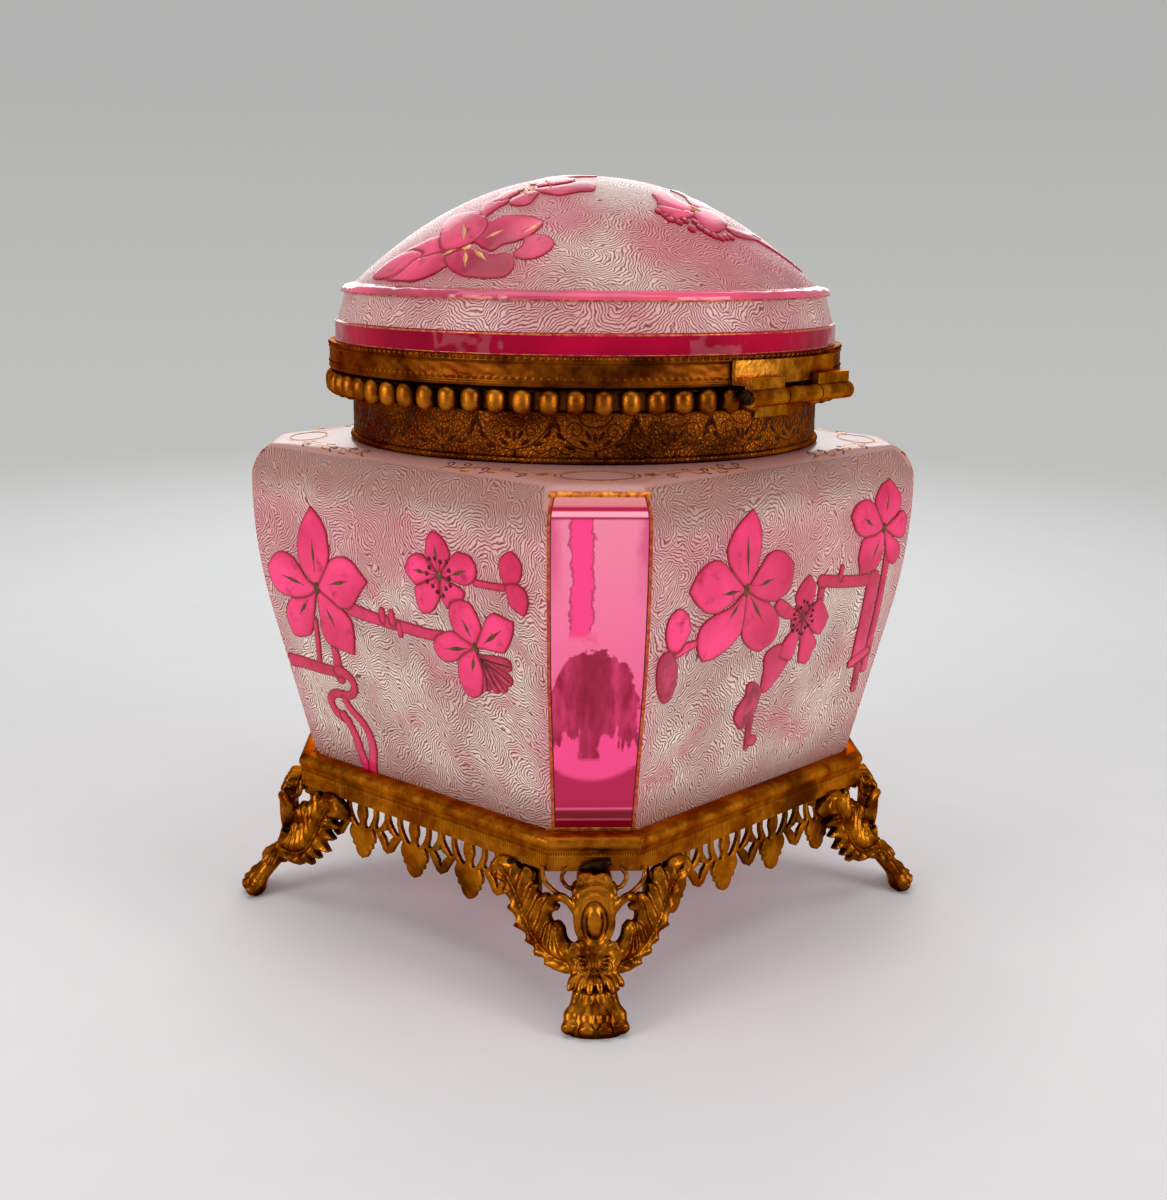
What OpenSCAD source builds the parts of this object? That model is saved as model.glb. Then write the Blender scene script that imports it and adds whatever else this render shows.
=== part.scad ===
// Cut-glass casket box on a pierced brass base with four paw legs and a hinged domed lid.
// Millimetres. +Z is up and the feet stand on z = 0. The hinge is at the back, on the +Y side.

/* [Glass box] */
// Width across the flat sides, at the widest
box_w = 118.8; // [112:0.1:126]
// Width across opposite cut corners, at the widest
box_corner_w = 148; // [142:0.5:156]
// Width across the flat sides, at the underside
box_foot_w = 97.4; // [90:0.1:104]
// Width across opposite cut corners, at the underside
box_foot_corner_w = 121.2; // [116:0.2:128]
// Height from the underside to the top of the shoulder
box_h = 76.2; // [66:0.1:90]
// Radius of the bow in the flat sides
side_bow_r = 150; // [100:1:250]
// Radius of the bow in the cut corners
corner_bow_r = 115; // [90:1:250]
// Radius of the rounding between the sides and the shoulder
shoulder_r = 8.5; // [6:0.1:9]
// Height of the upright stretch below that rounding
upright_h = 1.1; // [0.5:0.1:4]
// Fall of the shoulder from the neck to its edge
shoulder_fall = 1.3; // [0.5:0.1:2]
// Thickness of the glass walls
wall_t = 4.4; // [3:0.1:5]
// Thickness of the glass floor
floor_t = 6.5; // [5:0.1:10]
// Radius where the glass floor meets the walls
floor_r = 3; // [1.5:0.1:4]
// Bevel round the underside of the glass
foot_edge = 1; // [0.5:0.1:2]

/* [Neck] */
// Diameter of the glass neck
neck_d = 99.8; // [94:0.2:102]
// Height of the glass neck above the shoulder
neck_h = 14.1; // [10:0.1:20]
// Thickness of the plaster that beds glass in metal
bedding_t = 1.5; // [1:0.1:2]
// Thickness of the sheet brass
sheet_t = 0.6; // [0.5:0.05:0.9]
// Height of the moulding at the foot of the collar
collar_foot_h = 1.5; // [1:0.1:3]

/* [Bead gallery] */
// Width of a bead
bead_w = 3.4; // [2.8:0.1:3.6]
// Height of a bead
bead_h = 4.9; // [4:0.1:6]
// Distance from bead to bead
bead_pitch = 5.3; // [4.8:0.1:6.5]
// Reach of the collar's top plate beyond the collar wall
plate_reach = 2.2; // [1.5:0.1:3]

/* [Lid] */
// Diameter of the brass band round the lid
lid_band_d = 115; // [114:0.2:118]
// Height of that band
lid_band_h = 5.9; // [4.5:0.1:9]
// Gap between the closed lid's band and the collar's top plate
seam_gap = 0.4; // [0.3:0.05:0.6]
// Clear height of the lid's glass rim above the band
rim_h = 4.2; // [3:0.1:8]
// Height of the sloping belt above the rim
belt_h = 6.1; // [4:0.1:10]
// Inward lean of the belt
belt_lean = 1.7; // [0.5:0.1:3]
// Height of the polished ridge above the belt
ridge_h = 2.2; // [1.5:0.1:3]
// Inward step from the belt to the foot of the dome
dome_step = 2.9; // [1.8:0.1:4]
// Height of the dome above the ridge
dome_h = 23.2; // [15:0.1:30]
// Fullness of the dome: 2 is a parabola, more is flatter on top
dome_power = 2.08; // [1.9:0.01:2.6]
// Thickness of the lid's glass
lid_wall_t = 4; // [3:0.1:5]

/* [Hinge] */
// Outside diameter of the hinge knuckles
knuckle_d = 3.5; // [3.2:0.1:3.8]
// Diameter of the hinge pin
pin_d = 1.8; // [1.4:0.05:2]
// Radial clearance of the pin in the lid's knuckles
pin_clearance = 0.05; // [0.02:0.01:0.08]
// Length of the hinge over its three knuckles
hinge_l = 33.7; // [28:0.1:38]
// Gap between neighbouring knuckles
knuckle_gap = 0.35; // [0.3:0.05:0.5]
// Depth of the hinge axis below the lid band
hinge_drop = 2.3; // [2.1:0.05:2.8]
// Thickness of the hinge leaves
leaf_t = 0.8; // [0.6:0.05:1]

/* [Base frame] */
// Height of the frame's underside above the ground
leg_h = 29.4; // [26:0.1:36]
// Height of the frame
frame_h = 7.4; // [6.8:0.1:10]
// Depth to which the glass box sits in the frame
seat_depth = 3.4; // [2.5:0.1:4]
// Clearance between the glass and the frame's rim
seat_gap = 0.25; // [0.15:0.05:0.5]
// Thickness of the packing under the glass
packing_t = 0.6; // [0.4:0.1:1]
// Width of the ledge that carries the glass
ledge_w = 4.5; // [3:0.1:7]
// Thickness of that ledge
ledge_t = 1.4; // [1:0.1:2]
// Thickness of the frame's rim at its roll moulding
rim_t = 3.4; // [3:0.1:4.5]
// Diameter of the roll moulding
roll_d = 3.3; // [2.6:0.1:3.4]
// Depth of the groove below the roll
groove_t = 0.8; // [0.3:0.1:1]
// Set-back of the plain band below the groove
band_setback = 0.5; // [0.2:0.1:0.7]

/* [Pierced galleries] */
// Height of a gallery below the frame
gallery_h = 13.6; // [12:0.1:15]
// Thickness of the gallery sheet
gallery_t = 1; // [0.8:0.1:1.2]
// Distance from leaf to leaf
gallery_pitch = 17.4; // [16:0.1:19]
// Width of the bars of the openwork
bar_w = 1.1; // [0.9:0.05:1.4]

/* [Legs] */
// Reach of the toes from the box's axis, along the diagonal
toe_reach = 81.4; // [78:0.1:84]
// Width of a paw over its toes
paw_w = 14.2; // [12:0.1:15]
// Height of a paw where the leg's plate runs into it
paw_h = 10.4; // [9:0.1:12]
// Diameter of a toe
toe_d = 4; // [3.4:0.1:4.4]
// Thickness of the leg's upright plate
leg_t = 2.6; // [2:0.1:3.2]
// Distance by which the plate stands out from the frame's band
leg_out = 4.6; // [4:0.1:6]
// Thickness of the acanthus wings
wing_t = 1.6; // [1.2:0.1:2]
// Length of an acanthus wing along the side of the frame
wing_l = 22; // [20:0.1:24]
// Half width of the cartouche between the wings
cartouche_r = 4.4; // [3.6:0.1:4.8]
// Length of the cabochon
cabochon_l = 9.2; // [7:0.1:10]
// Width of the cabochon
cabochon_w = 5.6; // [4.6:0.1:6]

/* [Hidden] */
far = 400;
arc_n = 10;
$fn = 96;

// Heights, from the ground up
frame_top = leg_h + frame_h;
box_z = frame_top - seat_depth;
ledge_z = box_z - packing_t;
shoulder_z = box_z + box_h;
widest_z = shoulder_z - shoulder_r - upright_h;
neck_top = shoulder_z + neck_h;
plate_z = neck_top + sheet_t;
collar_top = plate_z + sheet_t;
lid_z = collar_top + seam_gap;
lid_glass_z = lid_z + 2 * sheet_t;
band_top = lid_z + lid_band_h;
rim_top = band_top + rim_h;
belt_top = rim_top + belt_h;
dome_z = belt_top + ridge_h;
apex_z = dome_z + dome_h;
hinge_z = lid_z - hinge_drop;

// Radii about the box's axis
neck_r = neck_d / 2;
mouth_r = neck_r - wall_t;
collar_r = neck_r + bedding_t + sheet_t;
plate_r = collar_r + plate_reach;
plate_hole_r = mouth_r + bedding_t;
bead_ring_r = plate_r + bead_w / 2 + 0.1;
lid_band_r = lid_band_d / 2;
lid_rim_r = lid_band_r - sheet_t - 1.1;
belt_r = lid_rim_r - 0.6;
dome_r = belt_r - belt_lean - dome_step + 0.6;
knuckle_r = knuckle_d / 2;
pin_r = pin_d / 2;
hinge_y = lid_band_r + knuckle_r + knuckle_gap;
knuckle_l = (hinge_l - 2 * knuckle_gap) / 3;
plate_edge_x = hinge_l / 2;

// Plan of the base frame: [half width across the flats, half width across the cut corners]
seat_plan = [side_at(frame_top) + seat_gap, corner_at(frame_top) + seat_gap];
rim_plan = grow(seat_plan, rim_t);
band_plan = grow(rim_plan, -band_setback);
foot_plan = [box_foot_w / 2, box_foot_corner_w / 2];
ledge_plan = grow(foot_plan, -ledge_w);

function grow(plan, d) = [plan[0] + d, plan[1] + d];
function arc(c, r, a0, a1, n = arc_n) =
    [for (i = [0:n]) let (a = a0 + (a1 - a0) * i / n) [c[0] + r * cos(a), c[1] + r * sin(a)]];

// A side of the glass: a straight flare that meets a bow of radius bow and ends upright at widest_z
function flare_angle(wide, foot, r) =
    let (dx = r - (wide - foot), dz = widest_z - box_z)
    atan2(dz, dx) - acos(r / norm([dx, dz]));
// A bow is no flatter than the arc that reaches from the foot to the widest point
function bow_r(wide, foot, bow) =
    let (dx = wide - foot, dz = widest_z - box_z)
    min(bow, 0.99 * (dx * dx + dz * dz) / (2 * dx));
function flare_at(z, wide, foot, bow, inset = 0) =
    let (r = bow_r(wide, foot, bow), a = flare_angle(wide, foot, r))
    wide - r + (r - inset) / cos(a) - (widest_z - z) * tan(a);
function side_at(z) = flare_at(z, box_w / 2, box_foot_w / 2, side_bow_r);
function corner_at(z) = flare_at(z, box_corner_w / 2, box_foot_corner_w / 2, corner_bow_r);

// Half outline of the glass, from the floor at z0 to the shoulder; inset gives the inside face
function glass_outline(wide, foot, bow, z0, inset) =
    let (r = bow_r(wide, foot, bow), a = flare_angle(wide, foot, r),
         edge = inset > 0 ? floor_r : foot_edge)
    concat(
        [[flare_at(z0, wide, foot, bow, inset) - edge, z0],
         [flare_at(z0 + edge, wide, foot, bow, inset), z0 + edge]],
        arc([wide - r, widest_z], r - inset, -a, 0),
        arc([wide - shoulder_r, shoulder_z - shoulder_r], shoulder_r - inset, 0, 90));
function side_outline(z0, inset) = glass_outline(box_w / 2, box_foot_w / 2, side_bow_r, z0, inset);
function corner_outline(z0, inset) =
    glass_outline(box_corner_w / 2, box_foot_corner_w / 2, corner_bow_r, z0, inset);

// Outline of the frame's rim, as set-backs from its outermost face
roll_r = roll_d / 2;
rim_outline = concat(
    [[-band_setback, 0], [-band_setback, frame_h - roll_d - 0.6],
     [-band_setback - groove_t, frame_h - roll_d - 0.4]],
    arc([-roll_r, frame_h - roll_r], roll_r, -60, 90));
function rim_points(half) = [for (p = rim_outline) [half + p[0], leg_h + p[1]]];

// Solid whose four pairs of faces follow half outlines: flat sides and cut corners
module cut_corner_solid(side, corner) {
    intersection_for (k = [0:3])
        rotate([90, 0, 45 * k])
            linear_extrude(far, center = true)
                mirrored_outline(k % 2 == 0 ? side : corner);
}

module mirrored_outline(half) {
    n = len(half);
    polygon(concat(half, [for (i = [n - 1:-1:0]) [-half[i][0], half[i][1]]]));
}

// Upright prism on a cut-cornered square
module cut_corner_prism(plan, z0, z1) {
    translate([0, 0, z0])
        linear_extrude(z1 - z0)
            intersection() {
                square(2 * plan[0], center = true);
                rotate(45) square(2 * plan[1], center = true);
            }
}

module ring(r0, r1, z0, z1) {
    rotate_extrude() translate([r0, z0]) square([r1 - r0, z1 - z0]);
}

// Part of a ring that lies at the back, between x = -half_w and x = half_w
module ring_back(r0, r1, z0, z1, half_w) {
    intersection() {
        ring(r0, r1, z0, z1);
        translate([-half_w, 0, z0 - 1]) cube([2 * half_w, far, z1 - z0 + 2]);
    }
}

module lid_profile(inset) {
    rim = lid_rim_r - inset;
    slope_r = belt_r - inset;
    foot = dome_r - inset;
    rise = apex_z - inset - dome_z;
    polygon(concat(
        [[0, lid_glass_z], [rim, lid_glass_z], [rim, rim_top], [slope_r, rim_top + 0.2],
         [slope_r - belt_lean, belt_top], [slope_r - belt_lean + 0.2, belt_top + 0.5],
         [slope_r - belt_lean - 0.9, belt_top + ridge_h - 0.3]],
        [for (i = [20:-1:0]) let (r = foot * i / 20) [r, dome_z + rise * (1 - pow(i / 20, dome_power))]]));
}

// ---- Glass ----

module glass_box() {
    color([0.93, 0.62, 0.72, 0.6])
        difference() {
            union() {
                intersection() {
                    cut_corner_solid(side_outline(box_z, 0), corner_outline(box_z, 0));
                    shoulder_cone();
                }
                translate([0, 0, shoulder_z - 1]) cylinder(h = neck_h + 1, r = neck_r);
            }
            cut_corner_solid(side_outline(box_z + floor_t, wall_t),
                             corner_outline(box_z + floor_t, wall_t));
            translate([0, 0, shoulder_z - wall_t - 1]) cylinder(h = neck_h + wall_t + 2, r = mouth_r);
        }
}

// Everything under the shoulder's gentle fall
module shoulder_cone() {
    edge_r = box_corner_w / 2;
    rotate_extrude()
        polygon([[0, box_z - 1], [edge_r + 5, box_z - 1],
                 [edge_r + 5, shoulder_z - shoulder_fall * (edge_r + 5 - collar_r) / (edge_r - collar_r)],
                 [collar_r + 0.5, shoulder_z], [0, shoulder_z]]);
}

module lid_glass() {
    color([0.9, 0.5, 0.63, 0.6])
        difference() {
            rotate_extrude() lid_profile(0);
            rotate_extrude() lid_profile(lid_wall_t);
            translate([0, 0, lid_glass_z - 1]) cylinder(h = 2, r = lid_rim_r - lid_wall_t);
        }
}

// ---- Collar and bead gallery ----

module neck_bedding() {
    color("gainsboro")
        rotate_extrude()
            polygon([[neck_r, shoulder_z], [neck_r + bedding_t, shoulder_z], [neck_r + bedding_t, plate_z],
                     [plate_hole_r, plate_z], [plate_hole_r, neck_top], [neck_r, neck_top]]);
}

module neck_collar() {
    color("darkgoldenrod")
        rotate_extrude()
            polygon(concat(
                [[collar_r - sheet_t, shoulder_z]],
                arc([collar_r, shoulder_z + collar_foot_h / 2], collar_foot_h / 2, -90, 90, 6),
                [[collar_r, plate_z], [plate_r, plate_z], [plate_r, collar_top],
                 [plate_hole_r, collar_top], [plate_hole_r, plate_z], [collar_r - sheet_t, plate_z]]));
}

module bead_gallery() {
    round_off = bead_w / 3;
    z0 = collar_top - 0.15 - bead_h;
    z1 = collar_top - 0.15;
    outer_r = bead_ring_r + bead_w / 2;
    color("goldenrod") {
        ring(plate_r, bead_ring_r - bead_w / 4, plate_z, collar_top);
        intersection() {
            translate([0, 0, z0]) linear_extrude(bead_h) bead_row();
            rotate_extrude()
                polygon([[plate_r, z0], [outer_r - round_off, z0], [outer_r + 0.1, z0 + round_off],
                         [outer_r + 0.1, z1 - round_off], [outer_r - round_off, z1], [plate_r, z1]]);
        }
    }
}

// Plan of the beads and of the strip that joins them, open behind the hinge's middle knuckle
module bead_row() {
    n = floor(2 * PI * bead_ring_r / bead_pitch);
    clear_x = knuckle_l / 2 + bead_w / 2 + 0.2;
    for (i = [0:n - 1])
        let (a = 90 + 360 * i / n, x = bead_ring_r * cos(a), y = bead_ring_r * sin(a))
            if (abs(x) > clear_x || y < 0)
                translate([x, y]) circle(r = bead_w / 2, $fn = 24);
    difference() {
        circle(r = bead_ring_r);
        circle(r = plate_r);
        translate([-clear_x, 0]) square([2 * clear_x, far]);
    }
}

// ---- Hinge ----

module on_hinge_axis(x) {
    translate([x, hinge_y, hinge_z]) rotate([0, 90, 0]) children();
}

module collar_hinge_leaf() {
    half = knuckle_l / 2;
    foot_z = hinge_z - 5;
    color("peru")
        difference() {
            union() {
                on_hinge_axis(-half) cylinder(h = knuckle_l, r = knuckle_r);
                translate([-half, collar_r - 2, hinge_z - knuckle_r])
                    cube([knuckle_l, hinge_y - collar_r + 2, 1.6]);
                ring_back(collar_r - 1, collar_r + leaf_t, foot_z, hinge_z, half);
            }
            translate([0, 0, foot_z - 1]) cylinder(h = 20, r = collar_r);
            on_hinge_axis(-far / 2) cylinder(h = far, r = pin_r);
        }
}

module lid_hinge_leaf() {
    leaf_top = band_top - 0.9;
    color("peru")
        difference() {
            union() {
                ring_back(lid_band_r - 1, lid_band_r + leaf_t, lid_z + 0.2, leaf_top, plate_edge_x);
                for (side = [0, 1]) mirror([side, 0, 0]) lid_knuckle();
            }
            translate([0, 0, lid_z - 1]) cylinder(h = 20, r = lid_band_r);
            on_hinge_axis(-far / 2) cylinder(h = far, r = pin_r + pin_clearance);
        }
}

module lid_knuckle() {
    x0 = knuckle_l / 2 + knuckle_gap;
    on_hinge_axis(x0) cylinder(h = knuckle_l, r = knuckle_r);
    translate([x0, lid_band_r - 4, lid_z + 0.2]) cube([knuckle_l, hinge_y - lid_band_r + 4.3, 1.4]);
    translate([x0, hinge_y - 1.3, hinge_z]) cube([knuckle_l, 1.6, hinge_drop + 1.6]);
}

module hinge_pin() {
    over = 0.4;
    color("saddlebrown") on_hinge_axis(-hinge_l / 2 - over) cylinder(h = hinge_l + 2 * over, r = pin_r);
}

// ---- Lid metal ----

module lid_band() {
    color("darkgoldenrod")
        rotate_extrude()
            polygon([[plate_hole_r, lid_z], [lid_band_r - 0.3, lid_z], [lid_band_r, lid_z + 0.3],
                     [lid_band_r, band_top - 0.3], [lid_band_r - 0.2, band_top],
                     [lid_band_r - sheet_t, band_top], [lid_band_r - sheet_t, lid_z + sheet_t],
                     [plate_hole_r, lid_z + sheet_t]]);
}

module lid_bedding() {
    inner_r = lid_rim_r - lid_wall_t;
    outer_r = lid_band_r - sheet_t;
    color("gainsboro")
        rotate_extrude()
            polygon([[inner_r, lid_z + sheet_t], [outer_r, lid_z + sheet_t], [outer_r, band_top - 0.2],
                     [lid_rim_r, band_top - 0.2], [lid_rim_r, lid_glass_z], [inner_r, lid_glass_z]]);
}

// ---- Base frame ----

module base_frame() {
    color("darkgoldenrod")
        difference() {
            cut_corner_solid(rim_points(rim_plan[0]), rim_points(rim_plan[1]));
            cut_corner_prism(seat_plan, ledge_z, frame_top + 1);
            cut_corner_prism(ledge_plan, leg_h - 1, frame_top + 1);
            cut_corner_prism(grow(seat_plan, 0.6), leg_h - 1, ledge_z - ledge_t);
        }
}

module seat_packing() {
    color("tan")
        difference() {
            cut_corner_prism(foot_plan, ledge_z, box_z);
            cut_corner_prism(ledge_plan, ledge_z - 1, box_z + 1);
        }
}

// ---- Pierced galleries ----

// Each gallery hangs behind the wings, along one flat side of the frame
gallery_face = band_plan[0] - wing_t - 0.2;
gallery_half_l = sqrt(2) * band_plan[1] - band_plan[0] - 4;

// turn is the side's direction; shift is where a leaf falls along it
module gallery(turn, shift) {
    n = ceil(gallery_half_l / gallery_pitch) + 1;
    reach = gallery_half_l - gallery_pitch / 4;
    color("goldenrod")
        rotate(turn)
            translate([0, gallery_face, leg_h])
                rotate([90, 0, 0]) {
                    translate([-gallery_half_l, -bar_w]) cube([2 * gallery_half_l, bar_w, gallery_t]);
                    for (k = [-n:n]) {
                        leaf_x = shift + k * gallery_pitch;
                        drop_x = leaf_x + gallery_pitch / 2;
                        if (abs(leaf_x) < reach)
                            translate([leaf_x, 0]) linear_extrude(gallery_t) leaf_pendant();
                        if (abs(drop_x) < reach)
                            translate([drop_x, 0]) linear_extrude(gallery_t) drop_pendant();
                    }
                }
}

// Lobed leaf on a bud-shaped stem, with a bar on each side; its origin is at the frame
module leaf_pendant() {
    lobe_z = -gallery_h + 6.2;
    polygon([[-1.1, -bar_w / 2], [1.1, -bar_w / 2], [0.5, -1.2], [1.3, -3], [0.9, lobe_z + 1.2],
             [-0.9, lobe_z + 1.2], [-1.3, -3], [-0.5, -1.2]]);
    polygon([[-3.4, lobe_z], [-2, lobe_z + 1.6], [2, lobe_z + 1.6], [3.4, lobe_z], [2.6, lobe_z - 2.6],
             [0.9, -gallery_h + 0.9], [-0.9, -gallery_h + 0.9], [-2.6, lobe_z - 2.6]]);
    for (s = [-1, 1]) {
        translate([2.9 * s, lobe_z]) circle(r = 1.3, $fn = 24);
        translate([2.1 * s, lobe_z - 2.8]) circle(r = 1.1, $fn = 24);
        bar([s * gallery_pitch / 4, -bar_w / 2], [s * 2.2, lobe_z + 1.2]);
    }
    translate([0, -gallery_h + 1]) circle(r = 1, $fn = 24);
}

// Open pointed drop between two leaves
module drop_pendant() {
    half = gallery_pitch / 4;
    bar([0, -bar_w / 2], [0, -2.8]);
    for (s = [-1, 1]) {
        bar([s * half, -bar_w / 2], [s * (half - 0.9), -5.2]);
        bar([s * 0.3, -2.4], [s * (half - 0.6), -5.6]);
        bar([s * (half - 0.6), -5.4], [s * 0.4, -gallery_h + 4.2]);
    }
    translate([0, -gallery_h + 4.2]) circle(r = 1, $fn = 24);
    for (s = [-1, 1]) translate([s * (half - 0.3), -5.4]) circle(r = 0.9, $fn = 24);
}

// Straight bar of the openwork between two points
module bar(p, q) {
    d = q - p;
    translate(p) rotate(atan2(d[1], d[0])) translate([0, -bar_w / 2]) square([norm(d), bar_w]);
}

// ---- Legs ----

// A leg is drawn with +Y outwards along the diagonal and x across the cut corner
leg_foot_d = band_plan[1];
plate_d = leg_foot_d + leg_out;
paw_l = toe_reach - plate_d;
wing_face = band_plan[0] + wing_t / 2;
join_x = max(0.5, sqrt(2) * wing_face - plate_d - wing_t / 4);
join_d = sqrt(2) * wing_face - join_x;
scroll_z = 0.816 * leg_h;
volute_z = 0.43 * leg_h;
ankle_z = 0.62 * paw_h;

// Points given in hundredths of a width and a height
function share(points, w, h) = [for (p = points) [p[0] * w / 100, p[1] * h / 100]];
function beyond(points, d) = [for (p = points) [p[0] + d, p[1]]];

module leg(turn) {
    color("goldenrod")
        rotate(turn - 90) {
            leg_plate();
            cabochon();
            paw();
            for (s = [0, 1]) mirror([s, 0, 0]) wing();
        }
}

// Upright plate: its front outline cut from its side outline
module leg_plate() {
    intersection() {
        translate([0, far / 2, 0]) rotate([90, 0, 0]) linear_extrude(far) cartouche_outline();
        rotate([90, 0, 90]) linear_extrude(far, center = true) plate_side_outline();
    }
}

module cartouche_outline() {
    top = leg_h + 2;
    middle = 0.58 * leg_h;
    ankle_x = 1.16 * cartouche_r;
    translate([-cartouche_r, middle]) square([2 * cartouche_r, top - middle - 1]);
    translate([1 - cartouche_r, top - 2]) square([2 * cartouche_r - 2, 2]);
    translate([0, middle]) circle(r = cartouche_r);
    translate([-join_x - 0.8, scroll_z - 1.1]) square([2 * join_x + 1.6, 2.2]);
    for (s = [-1, 1]) {
        translate([s * 0.55 * cartouche_r, volute_z - 0.5]) circle(r = 0.59 * cartouche_r);
        translate([s * 1.14 * cartouche_r, volute_z + 0.5]) circle(r = 0.48 * cartouche_r);
        translate([s * (cartouche_r - 1), top - 2.2]) circle(r = 1.4);
        translate([s * (cartouche_r + 0.6), scroll_z]) circle(r = 1.5);
    }
    polygon([[-join_x - 1.2, volute_z - 1.6], [-ankle_x, ankle_z + 2.5], [-ankle_x, ankle_z],
             [ankle_x, ankle_z], [ankle_x, ankle_z + 2.5], [join_x + 1.2, volute_z - 1.6],
             [join_x + 1.2, volute_z + 2], [-join_x - 1.2, volute_z + 2]]);
}

module plate_side_outline() {
    polygon([[leg_foot_d, leg_h + 2], [leg_foot_d + 1.6, leg_h + 2], [leg_foot_d + 2.7, leg_h + 0.6],
             [plate_d - 1, leg_h - 3], [plate_d, leg_h - 6], [plate_d, volute_z + 1.4],
             [plate_d + 1, volute_z - 1.2], [plate_d + 2.4, ankle_z], [plate_d - 0.8, ankle_z],
             [plate_d - leg_t, volute_z - 1.6],
             [plate_d - leg_t - 0.3, leg_h - 5], [leg_foot_d, leg_h - 1.2]]);
}

// Polished oval boss in the middle of the cartouche
module cabochon() {
    end_r = cabochon_w / 2;
    body_r = end_r - 0.4;
    z0 = 0.857 * leg_h - end_r;
    for (z = [z0, z0 - cabochon_l + cabochon_w])
        translate([0, plate_d - 1, z]) sphere(r = body_r, $fn = 32);
    translate([0, plate_d - 1, z0 - cabochon_l + cabochon_w])
        cylinder(h = cabochon_l - cabochon_w, r = body_r, $fn = 32);
}

// Acanthus wing, flat against the side of the frame
module wing() {
    translate([join_x, join_d, 0])
        rotate([90, 0, -45])
            linear_extrude(wing_t) wing_outline();
}

module wing_outline() {
    polygon(share([[-6.4, 34.7], [22.7, 33.3], [54.5, 38.8], [78.6, 49], [92.3, 62.2], [98.2, 74.8],
                   [90.9, 89.8], [79.1, 100], [51.8, 100], [43.2, 89.1], [47.3, 68], [33.6, 59.2],
                   [20, 50.3], [-6.4, 49.7]], wing_l, leg_h));
    polygon(share([[-6.4, 77.6], [21.8, 80.3], [45.5, 73.5], [45.5, 86.4], [18.2, 88.4], [-6.4, 85.7]],
                  wing_l, leg_h));
    for (lobe = [[21, 36, 6.4], [52.7, 40.8, 7.7], [77.3, 51, 7.7], [92.7, 63.9, 7.3], [91.8, 82.3, 10.5]])
        translate([lobe[0] * wing_l / 100, lobe[1] * leg_h / 100])
            circle(r = lobe[2] * wing_l / 100, $fn = 32);
}

// Lion's paw that slopes out from the ankle to four toes
module paw() {
    toe_r = toe_d / 2;
    tip = toe_reach;
    half = paw_w / 2;
    intersection() {
        rotate([90, 0, 90])
            linear_extrude(far, center = true)
                polygon(beyond(share([[-8.5, 90], [10, 100], [39, 75], [71, 58], [91.5, 35], [96.6, 15],
                                      [91.5, 0], [64, 0], [49, 19], [20.5, 54], [-5, 54]],
                                     paw_l, paw_h), plate_d));
        linear_extrude(far)
            polygon(concat(paw_side(1, half, tip), paw_side(-1, half, tip)));
    }
    for (s = [-1, 1]) {
        translate([s * toe_r * 0.95, tip - toe_r, toe_r + 0.05]) sphere(r = toe_r, $fn = 32);
        translate([s * (half - toe_r), tip - toe_r - 0.1 * paw_l, toe_r + 0.05])
            sphere(r = toe_r, $fn = 32);
    }
}

// One side of the paw's plan, from the ankle to the toes or, on the left, back again
function paw_side(s, half, tip) =
    let (neck = 0.7 * half,
         points = [[neck, tip - 1.25 * paw_l], [0.62 * half, tip - 0.83 * paw_l],
                   [neck, tip - 0.55 * paw_l], [0.92 * half, tip - 0.29 * paw_l],
                   [0.8 * half, tip - 0.12 * paw_l], [0.28 * half, tip]])
    s > 0 ? points : [for (i = [len(points) - 1:-1:0]) [-points[i][0], points[i][1]]];

base_frame();
seat_packing();
gallery(180, 0);  // gallery_front
gallery(-90, 3.2);  // gallery_right
gallery(0, gallery_pitch / 2);  // gallery_back
gallery(90, 4);  // gallery_left
leg(-45);  // leg_front_right
leg(45);  // leg_back_right
leg(135);  // leg_back_left
leg(-135);  // leg_front_left
glass_box();
neck_bedding();
neck_collar();
bead_gallery();
collar_hinge_leaf();
hinge_pin();
lid_hinge_leaf();
lid_band();
lid_bedding();
lid_glass();
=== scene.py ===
"""Looks of the casket box: etched glass with ruby blossom sprays in a pierced gilt-brass mount."""
import math

import bpy
import numpy as np
from mathutils import Matrix, Vector


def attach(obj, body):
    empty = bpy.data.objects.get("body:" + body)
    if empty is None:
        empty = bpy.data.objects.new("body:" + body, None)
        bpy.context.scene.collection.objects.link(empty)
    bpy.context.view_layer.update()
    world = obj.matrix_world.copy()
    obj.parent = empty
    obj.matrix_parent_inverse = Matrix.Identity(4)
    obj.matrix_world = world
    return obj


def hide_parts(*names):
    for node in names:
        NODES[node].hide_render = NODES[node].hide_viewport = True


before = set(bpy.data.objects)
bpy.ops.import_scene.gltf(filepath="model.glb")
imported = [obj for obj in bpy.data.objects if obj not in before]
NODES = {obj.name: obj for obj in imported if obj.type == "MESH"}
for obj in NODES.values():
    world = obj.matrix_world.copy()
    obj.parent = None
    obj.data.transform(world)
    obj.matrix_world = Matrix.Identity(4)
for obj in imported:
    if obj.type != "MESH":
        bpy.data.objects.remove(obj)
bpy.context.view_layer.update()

MM = 0.001
TAU = 2 * math.pi
ROOT2 = math.sqrt(2)

# Sizes of the part in millimetres, as in its source

# Glass box: heights of its underside, widest place, shoulder and hollow, then its radii and wall
BOX_Z = 33.4
WIDEST_Z = 100.0
SHOULDER_Z = 109.6
FLOOR_Z = 39.9
NECK_TOP = 123.7
SHOULDER_R = 8.5
NECK_R = 49.9
MOUTH_R = 45.5
WALL_T = 4.4
# Where the sides start to turn in to the shoulder
TURN_Z = WIDEST_Z + 1.1
# Half width of a flat side and of a cut corner at the widest and at the foot, then the bow's radius
FLAT = (59.4, 48.7, 150.0)
CORNER = (74.0, 60.6, 115.0)
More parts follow.
